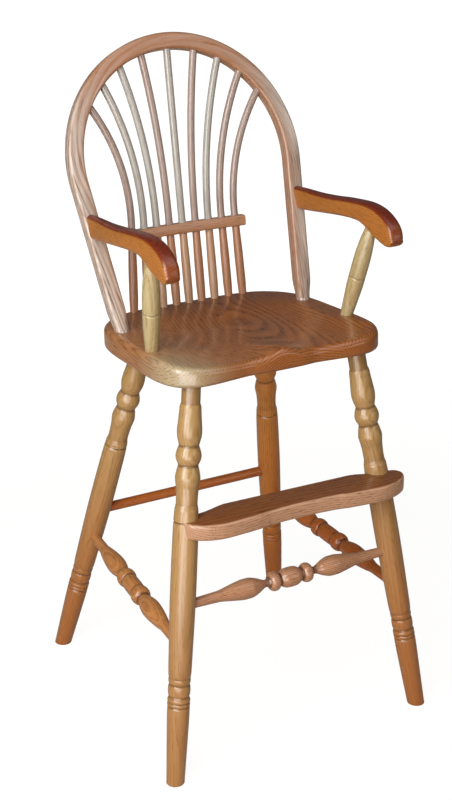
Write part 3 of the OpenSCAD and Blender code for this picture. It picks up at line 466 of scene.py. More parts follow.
# Zinc plated steel, as wood screws have: a dull grey metal whose thin plating is a little cloudy
def makeSteel():
    material = bpy.data.materials.new("zinc plated steel screw")
    tree = emptyTree(material)
    cloud = addNode(tree, "ShaderNodeTexNoise", {
        "Vector": addNode(tree, "ShaderNodeTexCoord", out="Object"),
        "Scale": 1 / (steel["cloud"] * mm), "Detail": 2.0
    }, 0)
    low, high = steel["roughness"]
    roughness = addNode(tree, "ShaderNodeMapRange", {"Value": cloud, "To Min": low, "To Max": high}, 0)
    shader = addNode(tree, "ShaderNodeBsdfPrincipled", {
        "Base Color": addNode(tree, "ShaderNodeValToRGB", {0: cloud}, 0, steel["colors"]),
        "Metallic": 1.0, "Roughness": roughness
    }, 0)
    addNode(tree, "ShaderNodeOutputMaterial", {"Surface": shader})
    return material


# Hidden fittings keep their own solids
screwSteel = makeSteel()
for owner in ("arm", "footrest"):
    for fitting, material in (("screws", screwSteel), ("plugs", plugOak)):
        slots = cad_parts[f"{owner}_{fitting}"].data.materials
        slots.clear()
        slots.append(material)
print("materials made")


# The seat's frame: Y up the slope to the back, Z along the seat's normal, in millimetres
seat = {
    "height": 605.0, "slope": 4.0, "width": 360.0, "depth": 314.0, "front": 159.0, "thick": 34.0,
    "topRound": 10.0, "baseRound": 7.0, "edgeSteps": 7, "roundSteps": 9, "hollowSteps": 44,
    "middle": -0.03,         # share of the depth, where the hollow's rings close
    # the hollow: its half width and the run of its sides, at the front and further back
    "dishDepth": 11.0, "hollowHalf": (0.52, 0.38), "hollowRun": (0.39, 0.2), "hollowFront": 0.35,
    "hollowBack": (0.15, 0.3),   # shares of the depth: in from the back edge, and the run down from there
    # the ridge between the thighs
    "pommelWidth": 26.0, "pommelLength": 92.0, "pommelSpread": 0.9, "pommelFade": 0.75, "pommelShare": 0.87,
    # right half of the edge: share of the half width, share of the depth from the front
    "edge": [
        (0, 0.013), (0.167, 0.014), (0.306, 0.021), (0.472, 0.010), (0.639, 0), (0.778, 0.006),
        (0.889, 0.041), (0.956, 0.099), (0.989, 0.172), (1, 0.268), (0.994, 0.379), (0.989, 0.506),
        (0.983, 0.634), (0.961, 0.745), (0.917, 0.825), (0.844, 0.889), (0.739, 0.943),
        (0.611, 0.978), (0.444, 0.994), (0.222, 0.999), (0, 1),
    ],
}
seatTurn = Matrix.Rotation(math.radians(-seat["slope"]), 4, "X")
seatMatrix = Matrix.Translation((0, 0, seat["height"])) @ seatTurn
seatBack = seat["depth"] - seat["front"]


def onSeat(p):
    return tuple(seatMatrix @ Vector(p))


# Depth of the scooped hollow at a point of the seat
def dish(x, y):
    width, depth, front = seat["width"], seat["depth"], seat["front"]
    backIn, backRun = seat["hollowBack"]
    fromFront = clamped((y + front) / (seat["hollowFront"] * depth))
    half = mix(*seat["hollowHalf"], smooth01(fromFront)) * width
    run = mix(*seat["hollowRun"], fromFront) * width
    across = math.sin(math.pi / 2 * clamped((half - abs(x)) / run))
    lengthways = smooth01((seatBack - backIn * depth - y) / (backRun * depth))
    fade = smooth01((seat["pommelLength"] - front - y) / (seat["pommelFade"] * seat["pommelLength"]))
    ridge = math.exp(-x * x / (seat["pommelSpread"] * seat["pommelWidth"] ** 2)) * fade
    return seat["dishDepth"] * across * lengthways * (1 - seat["pommelShare"] * ridge)


def makeSeat():
    outline = closedCurve(bothHalves([
        (x * seat["width"] / 2, y * seat["depth"] - seat["front"]) for x, y in seat["edge"]
    ]), seat["edgeSteps"])
    middleY = seat["middle"] * seat["depth"]
    low = easedEdge(outline, -seat["thick"], seat["baseRound"], 1, seat["roundSteps"])
    high = easedEdge(outline, 0, seat["topRound"], -1, seat["roundSteps"])[::-1]
    innerEdge = inset(outline, seat["topRound"])
    for i in range(1, seat["hollowSteps"]):
        share = 1 - i / seat["hollowSteps"]
        high.append([(x * share, mix(middleY, y, share), 0) for x, y in innerEdge])
    high = [[(x, y, z - dish(x, y)) for x, y, z in ring] for ring in high]
    rings = [[onSeat(p) for p in ring] for ring in low + high]
    tips = [onSeat((0, middleY, z)) for z in (-seat["thick"], -dish(0, middleY))]
    place(skinPiece("saddledSeat", rings, tips), "seat", seatOak)


makeSeat()
print("seat made")


# Turned work: a profile is a list of (radius, height) in millimetres, revolved about Z
turning = {
    "sides": 72,
    # a groove is fully darkened at this depth below the wood at this reach to both sides
    "grooveDepth": 1.2, "grooveReach": 3.5,
    # where the piece lay in its plank: off the pith, aside of it and along it, and how its grain slopes
    "plank": ((70, 130), (-30, 30), (0, 900)), "slope": 0.02,
}


def ease(z0, z1, r0, r1, steps=8):
    return [(mix(r0, r1, (1 - math.cos(math.pi * i / steps)) / 2), mix(z0, z1, i / steps))
            for i in range(steps + 1)]


def bead(z0, z1, edge, middle, steps=14):
    return [(mix(edge, middle, math.sin(math.pi * i / steps)),
             mix(z0, z1, (1 - math.cos(math.pi * i / steps)) / 2)) for i in range(steps + 1)]


# Smooth profile through pairs of height and diameter
def turnedCurve(pairs, steps=7):
    return openCurve([(diameter / 2, height) for height, diameter in pairs], steps)


# Radius of a profile at a height, for judging how deep a groove lies
def radiusAt(profile, z):
    for (r0, z0), (r1, z1) in zip(profile, profile[1:]):
        if z0 <= z <= z1 and z1 > z0:
            return mix(r0, r1, (z - z0) / (z1 - z0))
    return profile[-1][0]


# One turned piece from its start to its end, cut from its own place in the plank
def turnedPiece(name, start, end, profile, seed):
    matrix = alongMatrix(start, end)
    sides, reach = turning["sides"], turning["grooveReach"]
    chance = random.Random(seed)
    turn = chance.uniform(0, math.tau)
    x0, y0, z0 = [chance.uniform(*span) for span in turning["plank"]]
    slope = chance.uniform(-turning["slope"], turning["slope"])

    def inPlank(x, y, z):
        return (x * math.cos(turn) - y * math.sin(turn) + x0 + slope * z,
                x * math.sin(turn) + y * math.cos(turn) + y0, z + z0)

    angles = [math.tau * j / sides for j in range(sides)]
    rings, wood, groove = [], [], []
    for radius, z in profile:
        ring = [(radius * math.cos(a), radius * math.sin(a), z) for a in angles]
        rings.append([tuple(matrix @ Vector(p)) for p in ring])
        wood += [inPlank(*p) for p in ring]
        nearby = (radiusAt(profile, z - reach) + radiusAt(profile, z + reach)) / 2
        groove += [clamped((nearby - radius) / turning["grooveDepth"])] * sides
    ends = [(0, 0, profile[0][1]), (0, 0, profile[-1][1])]
    wood += [inPlank(*p) for p in ends]
    groove += [0.0, 0.0]
    return skinPiece(name, rings, [tuple(matrix @ Vector(p)) for p in ends], wood, groove=groove)


leg = {
    "diameter": 37.6, "tenonDiameter": 27.0, "tenon": 20.0,
    "frontFeet": 426.0, "backFeet": 414.0, "feetDepth": 433.0,
    "frontSideIn": 49.5, "frontEdgeIn": 36.0, "backSideIn": 82.0, "backEdgeIn": 73.0,
    "scoreDepth": 1.6, "scoreHalf": 2.0,
    # mm down from the seat to the neck, vase, pinch, ball, ball's pinch, bulb, bulb's foot and collar
    "turnings": (172.0, 134.0, 117.5, 103.0, 89.0, 68.0, 43.0, 28.0),
    # share of the painted shade at the foot, left then right, and where it fades out
    "frontStain": (0.5, 0.95), "backStain": (0.95, 0.95), "footShadeTop": 520.0,
    "frontSeeds": (3, 8), "backSeeds": (23, 28),
}
frontFoot = Vector((leg["frontFeet"] / 2, -leg["feetDepth"] / 2, 0))
backFoot = Vector((leg["backFeet"] / 2, leg["feetDepth"] / 2, 0))
frontHead = Vector(onSeat((seat["width"] / 2 - leg["frontSideIn"], leg["frontEdgeIn"] - seat["front"], 0)))
backHead = Vector(onSeat((seat["width"] / 2 - leg["backSideIn"], seatBack - leg["backEdgeIn"], 0)))
seatNormal = seatMatrix.to_3x3() @ Vector((0, 0, 1))


def flipX(p):
    return Vector((-p[0], p[1], p[2]))


def legPoint(foot, head, z):
    return foot.lerp(head, z / head.z)


# Profile of a leg whose free length ends at the seat, with the line scored for the footrest
def legProfile(free, scoreAt):
    d = leg["diameter"]
    r = d / 2
    neck, vase, pinch, ball, ballPinch, bulb, bulbFoot, collar = (free - down for down in leg["turnings"])
    foot = [(0.705 * r, -r)] + turnedCurve([
        (6, 0.72 * d), (36, 0.77 * d), (68, 0.822 * d), (100, 0.868 * d), (116, 0.872 * d)])
    beads = bead(118, 124.4, 0.80 * r, 0.885 * r) + bead(124.4, 130.5, 0.83 * r, 0.885 * r)
    beads += bead(134, 151, 0.79 * r, 0.87 * r) + bead(154, 161, 0.83 * r, 0.86 * r)
    shaft = turnedCurve([
        (163, 0.855 * d), (172, 0.895 * d), (mix(161, neck, 0.17), 0.93 * d),
        (mix(161, neck, 0.36), 0.98 * d), (mix(161, neck, 0.57), d), (mix(161, neck, 0.86), 0.965 * d),
        (neck - 8, 0.90 * d)])
    scoreLow, scoreHigh = scoreAt - leg["scoreHalf"], scoreAt + leg["scoreHalf"]
    edge = radiusAt(shaft, scoreAt)
    scored = [p for p in shaft if p[1] < scoreLow]
    scored += [(edge, scoreLow), (edge - leg["scoreDepth"], scoreAt), (edge, scoreHigh)]
    scored += [p for p in shaft if p[1] > scoreHigh]
    upper = ease(neck - 7, neck, 0.87 * r, 0.815 * r) + turnedCurve([
        (neck + 8, 0.82 * d), (neck + 22, 0.86 * d), (vase - 6, 0.935 * d), (vase, 0.95 * d),
        (vase + 9, 0.865 * d), (pinch, 0.76 * d)])
    upper += turnedCurve([
        (pinch + 1, 0.765 * d), (ball - 6, 0.93 * d), (ball, 0.972 * d), (ball + 7, 0.90 * d),
        (ballPinch, 0.76 * d)])
    upper += turnedCurve([
        (ballPinch + 1, 0.765 * d), (bulb - 8, 0.915 * d), (bulb, 0.945 * d), (bulb + 10, 0.91 * d),
        (bulbFoot, 0.84 * d), (collar - 6, 0.815 * d)])
    tenonRadius = leg["tenonDiameter"] / 2
    tenon = ease(collar - 5, collar, 0.80 * r, tenonRadius) + [(tenonRadius, free + leg["tenon"])]
    return foot + beads + scored + upper + tenon


# Saws a leg level with the floor and closes the foot
def sawFoot(piece):
    work = bmesh.new()
    work.from_mesh(piece.data)
    cut = bmesh.ops.bisect_plane(work, geom=work.verts[:] + work.edges[:] + work.faces[:],
                                 plane_co=(0, 0, 0), plane_no=(0, 0, -1), clear_outer=True)
    rim = [e for e in cut["geom_cut"] if isinstance(e, bmesh.types.BMEdge)]
    bmesh.ops.contextual_create(work, geom=rim)
    for edge in rim:
        edge.smooth = False
    work.to_mesh(piece.data)
    work.free()


footrest = {
    "top": 391.0, "thick": 25.0, "length": 366.0, "out": 50.0, "back": 12.0, "round": 5.0,
    "shift": 11.0, "turn": 1.7,        # fixed a little off the middle, its right end forwards
    "edgeSteps": 8, "roundSteps": 7,
    # right half of the edge: share of the half length, share of the depth from the front
    "edge": [
        (0, 0.16), (0.246, 0.134), (0.328, 0.107), (0.393, 0.07), (0.486, 0.04), (0.579, 0.02),
        (0.667, 0.003), (0.74, 0.012), (0.82, 0.062), (0.874, 0.123), (0.929, 0.215),
        (0.962, 0.303), (0.989, 0.43), (1, 0.55), (0.989, 0.654), (0.967, 0.734), (0.929, 0.785),
        (0.874, 0.805), (0.82, 0.818), (0.77, 0.84), (0.721, 0.877), (0.678, 0.917),
        (0.634, 0.96), (0.59, 0.99), (0.546, 1), (0.27, 1), (0, 1),
    ],
}


def makeLegs():
    for depth, foot, head in (("front", frontFoot, frontHead), ("back", backFoot, backHead)):
        way = (head - foot).normalized()
        free = (head - foot).length - seat["thick"] / way.dot(seatNormal)
        # Scored a quarter of the footrest's thickness below its top
        scoreAt = (legPoint(foot, head, footrest["top"] - footrest["thick"] / 4) - foot).length
        profile = legProfile(free, scoreAt)
        for side, seed, share in zip(("left", "right"), leg[depth + "Seeds"], leg[depth + "Stain"]):
            ends = (foot, head) if side == "right" else (flipX(foot), flipX(head))
            piece = turnedPiece(f"turnedLeg.{depth}.{side}", *ends, profile, seed)
            sawFoot(piece)
            # Painted shade, darker and rustier towards the foot
            heights = [vertex.co.z / mm for vertex in piece.data.vertices]
            stain = [share * smooth01(1 - height / leg["footShadeTop"]) for height in heights]
            piece.data.attributes.new("stain", "FLOAT", "POINT").data.foreach_set("value", stain)
            # The back right leg's redder copy of the wood is lighter, painted light against the shade it
            # stands in
            oak = rustOak if (depth, side) == ("back", "right") else goldenOak
            place(piece, f"leg_{depth}_{side}", oak)


makeLegs()
print("legs made")

stretcher = {
    "diameter": 30.0, "past": 5.0, "frontEnd": 14.5, "sideEnd": 16.0, "back": 16.0,
    "frontHeight": 262.0, "sideFrontHeight": 203.0, "sideBackHeight": 217.0, "backHeight": 264.0,
    "beadSteps": 20,
}


# The profiles run from the middle to one end, at shares of the half length
def atShares(half, pairs):
    return turnedCurve([(share * half, diameter) for share, diameter in pairs])


def frontStretcherHalf(half):
    d, end = stretcher["diameter"], stretcher["frontEnd"]
    barrel = atShares(half, [(0.006, d), (0.05, 0.95 * d), (0.085, 0.75 * d), (0.105, 0.54 * d)])
    ring = bead(0.112 * half, 0.2 * half, 0.58 * d / 2, 0.985 * d / 2, stretcher["beadSteps"])
    vase = atShares(half, [
        (0.212, 0.44 * d), (0.236, 0.37 * d), (0.262, 0.47 * d), (0.309, 0.74 * d), (0.371, 0.985 * d),
        (0.422, 1.01 * d), (0.461, 0.99 * d), (0.557, 0.8 * d), (0.652, 0.59 * d), (0.703, 0.545 * d),
        (0.8, end + 0.8), (0.87, end)])
    return barrel + ring + vase + [(end / 2, half + stretcher["past"])]


def sideStretcherHalf(half):
    d, end = stretcher["diameter"], stretcher["sideEnd"]
    drum = atShares(half, [(0.006, 0.885 * d), (0.06, 0.875 * d), (0.094, 0.84 * d)])
    ring = bead(0.104 * half, 0.205 * half, 0.78 * d / 2, d / 2, stretcher["beadSteps"])
    vase = atShares(half, [
        (0.213, 0.68 * d), (0.224, 0.64 * d), (0.25, 0.7 * d), (0.32, 0.9 * d), (0.395, 0.985 * d),
        (0.503, 0.9 * d), (0.616, 0.71 * d), (0.68, end + 1.2), (0.8, end + 0.3), (0.87, end)])
    return drum + ring + vase + [(end / 2, half + stretcher["past"])]


def backStretcherHalf(half):
    radius = stretcher["back"] / 2
    rings = [(radius, half * share) for share in (0.02, 0.25, 0.5, 0.75)]
    return rings + [(radius, half + stretcher["past"])]


def makeStretchers():
    frontRight = legPoint(frontFoot, frontHead, stretcher["frontHeight"])
    backRight = legPoint(backFoot, backHead, stretcher["backHeight"])
    sideFront = legPoint(frontFoot, frontHead, stretcher["sideFrontHeight"])
    sideBack = legPoint(backFoot, backHead, stretcher["sideBackHeight"])
    runs = (
        ("front_stretcher", frontRight, flipX(frontRight), frontStretcherHalf, 41, stretcherOak),
        ("back_stretcher", backRight, flipX(backRight), backStretcherHalf, 42, amberOak),
        # the right one takes the darker amber wood as painted shade
        ("side_stretcher_right", sideFront, sideBack, sideStretcherHalf, 43, amberOak),
        ("side_stretcher_left", flipX(sideFront), flipX(sideBack), sideStretcherHalf, 44, brownOak),
    )
    for node, start, end, halfProfile, seed, oak in runs:
        half = halfProfile((end - start).length / 2)
        profile = [(r, -z) for r, z in reversed(half)] + half
        piece = turnedPiece("turned." + node, (start + end) / 2, end, profile, seed)
        place(piece, node, oak)


makeStretchers()
print("stretchers made")


def makeFootrest():
    frontY, backY = -footrest["out"], footrest["back"]
    outline = closedCurve(bothHalves([
        (x * footrest["length"] / 2, mix(frontY, backY, y)) for x, y in footrest["edge"]
    ]), footrest["edgeSteps"])
    low, high = footrest["top"] - footrest["thick"], footrest["top"]
    rings = easedEdge(outline, low, footrest["round"], 1, footrest["roundSteps"])
    rings += easedEdge(outline, high, footrest["round"], -1, footrest["roundSteps"])[::-1]
    legY = legPoint(frontFoot, frontHead, footrest["top"]).y
    turn = Matrix.Rotation(math.radians(-footrest["turn"]), 4, "Z")
    fixed = Matrix.Translation((footrest["shift"], legY, 0)) @ turn
    rings = [[tuple(fixed @ Vector(p)) for p in ring] for ring in rings]
    tips = [tuple(fixed @ Vector((0, (frontY + backY) / 2, z))) for z in (low, high)]
    place(skinPiece("footrestBoard", rings, tips), "footrest", boardOak)


makeFootrest()
print("footrest made")

bow = {
    "edgeIn": 101.0, "sideIn": 12.0, "lean": 18.2, "splay": 6.2, "height": 430.0,
    "width": 24.5, "thick": 21.0, "round": 4.5, "tenonDiameter": 20.0, "tenon": 22.0,
    "footGap": 0.3, "footFull": 34.0, "shoulder": 0.7,
    "archSteps": 110, "footSteps": 12, "legSteps": 8, "roundSteps": 7,
    "pith": 95.0, "grainSlope": 0.1, "tenonSeed": 5,
    "tenonOver": 4.0,        # mm that a tenon reaches up inside the foot
    # share of the painted shade on the inner face of the legs and on that of the arch, and of the darker
    # colour all over the arch
    "legStain": 0.7, "innerStain": 1.0, "archStain": 0.92,
    # how it sets in with height round the arch, and from the middle of the section inwards: slope, start
    "archFade": (1.4, -0.3), "innerFade": (-2.2, -0.1),
}
bowBaseY = seatBack - bow["edgeIn"]
bowLean, bowSplay = math.radians(bow["lean"]), math.radians(bow["splay"])
bowBaseHalf = seat["width"] / 2 - bow["sideIn"]
bowEdge = bowBaseHalf * math.cos(bowSplay)
bowOuterR = bowEdge + math.sin(bowSplay) * (bow["height"] - bowEdge) / (1 + math.sin(bowSplay))
bowCentre = bow["height"] - bowOuterR
bowMidR = bowOuterR - bow["width"] / 2
bowInnerR = bowOuterR - bow["width"]
bowLegX = bowBaseHalf - bow["width"] / 2 / math.cos(bowSplay)


# Bow frame: X to the right, Y up along the bow, Z through its thickness to the front
def onBow(p):
    return (p[0],
            bowBaseY + p[1] * math.sin(bowLean) - p[2] * math.cos(bowLean),
            p[1] * math.cos(bowLean) + p[2] * math.sin(bowLean))


def bowFaceY(z):
    return bowBaseY + z * math.tan(bowLean) - bow["thick"] / 2 / math.cos(bowLean)


def bowLegMid(z):
    return bowLegX + z / math.cos(bowLean) * math.tan(bowSplay)


# Middle of a bow leg at a distance up along it
def bowLegAt(side, t):
    return side * (bowLegX + t * math.sin(bowSplay)), t * math.cos(bowSplay)


def makeBow():
    section = roundedRing(bow["thick"], bow["width"], bow["round"], bow["roundSteps"])
    footRadius = bow["tenonDiameter"] / 2 + bow["shoulder"]
    footGap, footFull, legSteps = bow["footGap"], bow["footFull"], bow["legSteps"]
    legLength = (bowCentre - bowMidR * math.sin(bowSplay)) / math.cos(bowSplay)
    total = 2 * legLength + (math.pi + 2 * bowSplay) * bowMidR

    # A station has its middle, outward angle, share of the full section and distance along the bow
    def legStations(side):
        angle = -bowSplay if side > 0 else math.pi + bowSplay
        heights = [mix(footGap, footFull, i / bow["footSteps"]) for i in range(bow["footSteps"] + 1)]
        heights += [mix(footFull, legLength, i / legSteps) for i in range(1, legSteps)]
        return [(bowLegAt(side, t), angle, smooth01((t - footGap) / (footFull - footGap)), t)
                for t in heights]

    stations = legStations(1)
    for i in range(bow["archSteps"] + 1):
        a = mix(-bowSplay, math.pi + bowSplay, i / bow["archSteps"])
        middle = (bowMidR * math.cos(a), bowCentre + bowMidR * math.sin(a))
        stations.append((middle, a, 1.0, legLength + (a + bowSplay) * bowMidR))
    stations += [(m, a, f, total - t) for m, a, f, t in reversed(legStations(-1))]
    archSlope, archStart = bow["archFade"]
    innerSlope, innerStart = bow["innerFade"]
    rings, wood, stain = [], [], []
    for (x, y), angle, full, along in stations:
        ring = []
        # Painted shade with warm bounce light on the inner face, and a darker colour over the top
        high = smooth01(archSlope * math.sin(angle) + archStart)
        for n, u in section:
            size = math.hypot(n, u)
            n, u = mix(n * footRadius / size, n, full), mix(u * footRadius / size, u, full)
            ring.append(onSeat(onBow((x + u * math.cos(angle), y + u * math.sin(angle), n))))
            wood.append((n + bow["pith"], u + bow["grainSlope"] * along, along))
            inner = smooth01(innerSlope * u / bow["width"] + innerStart)
            stain.append(max(inner * mix(bow["legStain"], bow["innerStain"], high), bow["archStain"] * high))
        rings.append(ring)
    tips = [onSeat(onBow((side * bowLegX, footGap, 0))) for side in (1, -1)]
    wood += [(bow["pith"], 0, 0), (bow["pith"], 0, total)]
    stain += [0.0, 0.0]
    parts = [skinPiece("bentBow", rings, tips, wood, stain)]
    # Round tenons, as the whittled feet go on into the seat
    radius = bow["tenonDiameter"] / 2
    for side in (1, -1):
        ends = [Vector(onSeat(onBow((*bowLegAt(side, t), 0)))) for t in (0, 1)]
        rod = [(radius, -bow["tenon"]), (radius, footGap + bow["tenonOver"])]
        parts.append(turnedPiece("bowTenon", *ends, rod, bow["tenonSeed"]))
    place(joinMeshes("bentBow.whole", parts), "bow", bowOak)


# One mesh object from several, which are removed
def joinMeshes(name, parts):
    work = bmesh.new()
    for part in parts:
        work.from_mesh(part.data)
    mesh = bpy.data.meshes.new(name)
    work.to_mesh(mesh)
    work.free()
    for part in parts:
        bpy.data.objects.remove(part)
    return linked(name, mesh)


makeBow()
print("bow made")

# Foot places and angles in the fan are counted from the middle spindle outwards
spindle = {
    "edgeIn": 15.0, "feet": (0, 22, 45, 70, 95.5), "fan": (0, 15.2, 29.2, 43, 56.8),
    "diameter": 13.8, "footDiameter": 12.6, "barDiameter": 12.2, "topDiameter": 11.2,
    "tenon": 18.0, "topTenon": 12.0, "points": 150, "sides": 28, "creaseAngle": 50,
    "footRun": 24.0,         # mm from the seat to the full belly
    "slimFrom": 0.55,        # share of the way to the bar where the belly starts to slim
    "slimEnd": 3.0,          # mm below the bar
    # where it lay in its plank: off the pith, aside of it and along it
    "plank": ((50, 150), (-50, 50), (0, 3000)), "seed": 60,
    "grey": (2, 3, 5, 7),    # those from the paler plank, counted from the left
}
bar = {
    "height": 117.0, "pitch": 22.4, "width": 16.5, "thick": 19.0, "length": 208.0, "round": 3.0,
    "bendGap": 5.0, "steps": 40, "roundSteps": 5,
    "chamferScale": 0.9, "chamferTurn": 0.0016,      # size of the chamfered end, and radians to it
}
barLow, barHigh = bar["height"] - bar["width"] / 2, bar["height"] + bar["width"] / 2
bendStart = barHigh + bar["bendGap"]


# Sizes of one spindle, counted from the middle: its foot, its lean, its draw and its bend
def spindleSizes(k):
    foot = Vector((spindle["feet"][k], seatBack - spindle["edgeIn"], 0))
    fan = math.radians(spindle["fan"][k])
    end = Vector(onBow((bowInnerR * math.sin(fan), bowCentre + bowInnerR * math.cos(fan), 0)))
    rise = end - foot
    back = math.atan2(rise.y, rise.z)
    draw = math.atan2(k * bar["pitch"] - spindle["feet"][k], bar["height"])
    up = math.hypot(rise.y, rise.z)
    across = rise.x * math.cos(draw) - up * math.sin(draw)
    above = rise.x * math.sin(draw) + up * math.cos(draw) - bendStart
    # The middle spindle is straight, which a very large bend stands for
    radius = (across ** 2 + above ** 2) / (2 * across) if k else 1e6
    angle = 2 * math.atan2(across, above) if k else above / radius
    return {"foot": foot, "back": back, "draw": draw, "radius": radius, "angle": angle}


# Geometry node tree that draws a bent, shaved spindle along its own path
def makeSpindleTree():
    tree = bpy.data.node_groups.new("bentSpindle", "GeometryNodeTree")
    sockets = {
        "Float": ("Bend radius", "Bend start", "Upper end", "Lower end", "Foot radius", "Belly radius",
                  "Bar radius", "Top radius", "Bar low", "Bar high"),
        "Vector": ("Wood place",), "Int": ("Points", "Sides"), "Material": ("Material",),
    }
    for kind, names in sockets.items():
        for name in names:
            tree.interface.new_socket(name, in_out="INPUT", socket_type="NodeSocket" + kind)
    tree.interface.new_socket("Mesh", in_out="OUTPUT", socket_type="NodeSocketGeometry")
    known = dict(addNode(tree, "NodeGroupInput").outputs.items())
    known["along"] = addNode(tree, "ShaderNodeMapRange", {
        "Value": addNode(tree, "GeometryNodeSplineParameter", out="Factor"),
        "To Min": known["Lower end"], "To Max": known["Upper end"]
    }, 0)

    # Each row works out a value from two that are known: first the path, straight below the bend
    # and round a circle above it, then where the spindle slims and by how much
    sums = (
        ("past", "SUBTRACT", "along", "Bend start"),
        ("bent", "MAXIMUM", "past", 0.0),
        ("turn", "DIVIDE", "bent", "Bend radius"),
        ("cosine", "COSINE", "turn", 0.0),
        ("fall", "SUBTRACT", 1.0, "cosine"),
        ("outward", "MULTIPLY", "Bend radius", "fall"),
        ("sine", "SINE", "turn", 0.0),
        ("climb", "MULTIPLY", "Bend radius", "sine"),
        ("straight", "MINIMUM", "along", "Bend start"),
        ("upward", "ADD", "straight", "climb"),
        ("slimStart", "MULTIPLY", "Bar low", spindle["slimFrom"]),
        ("slimEnd", "SUBTRACT", "Bar low", spindle["slimEnd"] * mm),
        ("slimDepth", "SUBTRACT", "Belly radius", "Bar radius"),
        ("topDepth", "SUBTRACT", "Bar radius", "Top radius"),
    )
    for name, operation, first, second in sums:
        known[name] = addNode(tree, "ShaderNodeMath", {
            0: known.get(first, first), 1: known.get(second, second)
        }, 0, operation=operation)
    # Thick in the belly below the bar, thinner above it
    swells = (
        ("belly", 0.0, spindle["footRun"] * mm, "Foot radius", "Belly radius"),
        ("slim", "slimStart", "slimEnd", 0.0, "slimDepth"),
        ("top", "Bar high", "Bend start", 0.0, "topDepth"),
    )
    for name, *ends in swells:
        keys = ("From Min", "From Max", "To Min", "To Max")
        inputs = {key: known.get(end, end) for key, end in zip(keys, ends)}
        known[name] = addNode(tree, "ShaderNodeMapRange", {
            "Value": known["along"], **inputs
        }, 0, interpolation_type="SMOOTHSTEP")
    radius = known["belly"]
    for name in ("slim", "top"):
        radius = addNode(tree, "ShaderNodeMath", {0: radius, 1: known[name]}, 0, operation="SUBTRACT")

    line = addNode(tree, "GeometryNodeCurvePrimitiveLine", {"End": (0, 0, 1)}, 0)
    path = addNode(tree, "GeometryNodeResampleCurve", {"Curve": line, "Count": known["Points"]}, 0)
    position = addNode(tree, "ShaderNodeCombineXYZ", {"X": known["outward"], "Z": known["upward"]}, 0)
    path = addNode(tree, "GeometryNodeSetPosition", {"Geometry": path, "Position": position}, 0)
    # The path keeps its distance and radius, and the circle its own place, for the wood attribute
    kept = addNode(tree, "GeometryNodeCaptureAttribute", {"Geometry": path})
    for i, (name, value) in enumerate((("Along", known["along"]), ("Radius", radius))):
        kept.capture_items.new("FLOAT", name)
        tree.links.new(value, kept.inputs[i + 1])
    path, along, radius = kept.outputs[0], kept.outputs[1], kept.outputs[2]
    circle = addNode(tree, "GeometryNodeCurvePrimitiveCircle", {
        "Resolution": known["Sides"], "Radius": 1.0
    }, "Curve")
    section = addNode(tree, "GeometryNodeCaptureAttribute", {"Geometry": circle})
    section.capture_items.new("VECTOR", "Section")
    tree.links.new(addNode(tree, "GeometryNodeInputPosition", out=0), section.inputs[1])
    mesh = addNode(tree, "GeometryNodeCurveToMesh", {
        "Curve": path, "Profile Curve": section.outputs[0], "Scale": radius, "Fill Caps": True
    }, 0)
    wood = addNode(tree, "ShaderNodeVectorMath", {
        0: section.outputs[1], "Scale": radius
    }, 0, operation="SCALE")
    for part in (addNode(tree, "ShaderNodeCombineXYZ", {"Z": along}, 0), known["Wood place"]):
        wood = addNode(tree, "ShaderNodeVectorMath", {0: wood, 1: part}, 0, operation="ADD")
    warm = addNode(tree, "ShaderNodeMapRange", {
        "Value": along, "From Min": known["Bar high"], "From Max": known["Bar low"]
    }, 0, interpolation_type="SMOOTHSTEP")
    for name, value, kind in (("wood", wood, "FLOAT_VECTOR"), ("stain", warm, "FLOAT")):
        mesh = addNode(tree, "GeometryNodeStoreNamedAttribute", {
            "Geometry": mesh, "Name": name, "Value": value
        }, 0, data_type=kind, domain="POINT")
    mesh = addNode(tree, "GeometryNodeSetShadeSmooth", {"Geometry": mesh}, 0)
    mesh = addNode(tree, "GeometryNodeRealizeInstances", {"Geometry": mesh}, 0)
    mesh = addNode(tree, "GeometryNodeSetMaterial", {"Geometry": mesh, "Material": known["Material"]}, 0)
    addNode(tree, "NodeGroupOutput", {"Mesh": mesh})
    return tree


# Runs a tree with its inputs set by identifier, and returns the result as a plain mesh
def runTree(name, tree, values):
    holder = linked(name, bpy.data.meshes.new(name))
    modifier = holder.modifiers.new(name, "NODES")
    modifier.node_group = tree
    for item in tree.interface.items_tree:
        if item.in_out == "INPUT" and item.name in values:
            modifier[item.identifier] = values[item.name]
    graph = bpy.context.evaluated_depsgraph_get()
    mesh = bpy.data.meshes.new_from_object(holder.evaluated_get(graph), depsgraph=graph)
    bpy.data.objects.remove(holder)
    return mesh


def makeSpindles():
    tree = makeSpindleTree()
    toPart = Matrix.Translation((0, 0, seat["height"] * mm)) @ seatTurn
    for number in range(1, 10):
        i = number - 5
        s = spindleSizes(abs(i))
        chance = random.Random(spindle["seed"] + i)
        oak = greyOak if number in spindle["grey"] else pinkOak
        lengths = {
            "Bend radius": s["radius"], "Bend start": bendStart, "Lower end": -spindle["tenon"],
            "Upper end": bendStart + s["angle"] * s["radius"] + spindle["topTenon"],
            "Foot radius": spindle["footDiameter"] / 2, "Belly radius": spindle["diameter"] / 2,
            "Bar radius": spindle["barDiameter"] / 2, "Top radius": spindle["topDiameter"] / 2,
            "Bar low": barLow, "Bar high": barHigh,
        }
        mesh = runTree("spindle", tree, {
            **{name: length * mm for name, length in lengths.items()},
            "Wood place": [chance.uniform(*span) * mm for span in spindle["plank"]],
            "Points": spindle["points"], "Sides": spindle["sides"], "Material": oak,
        })
        lean = Matrix.Rotation(-s["back"], 4, "X") @ Matrix.Rotation(s["draw"], 4, "Y")
        mesh.transform(toPart @ Matrix.Translation(s["foot"] * mm) @ lean)
        if i < 0:
            mesh.transform(Matrix.Scale(-1, 4, (1, 0, 0)))
        piece = finishMesh(f"bentSpindle.{number}", mesh, spindle["creaseAngle"])
        place(piece, f"spindle_{number}", oak)


makeSpindles()
print("spindles made")


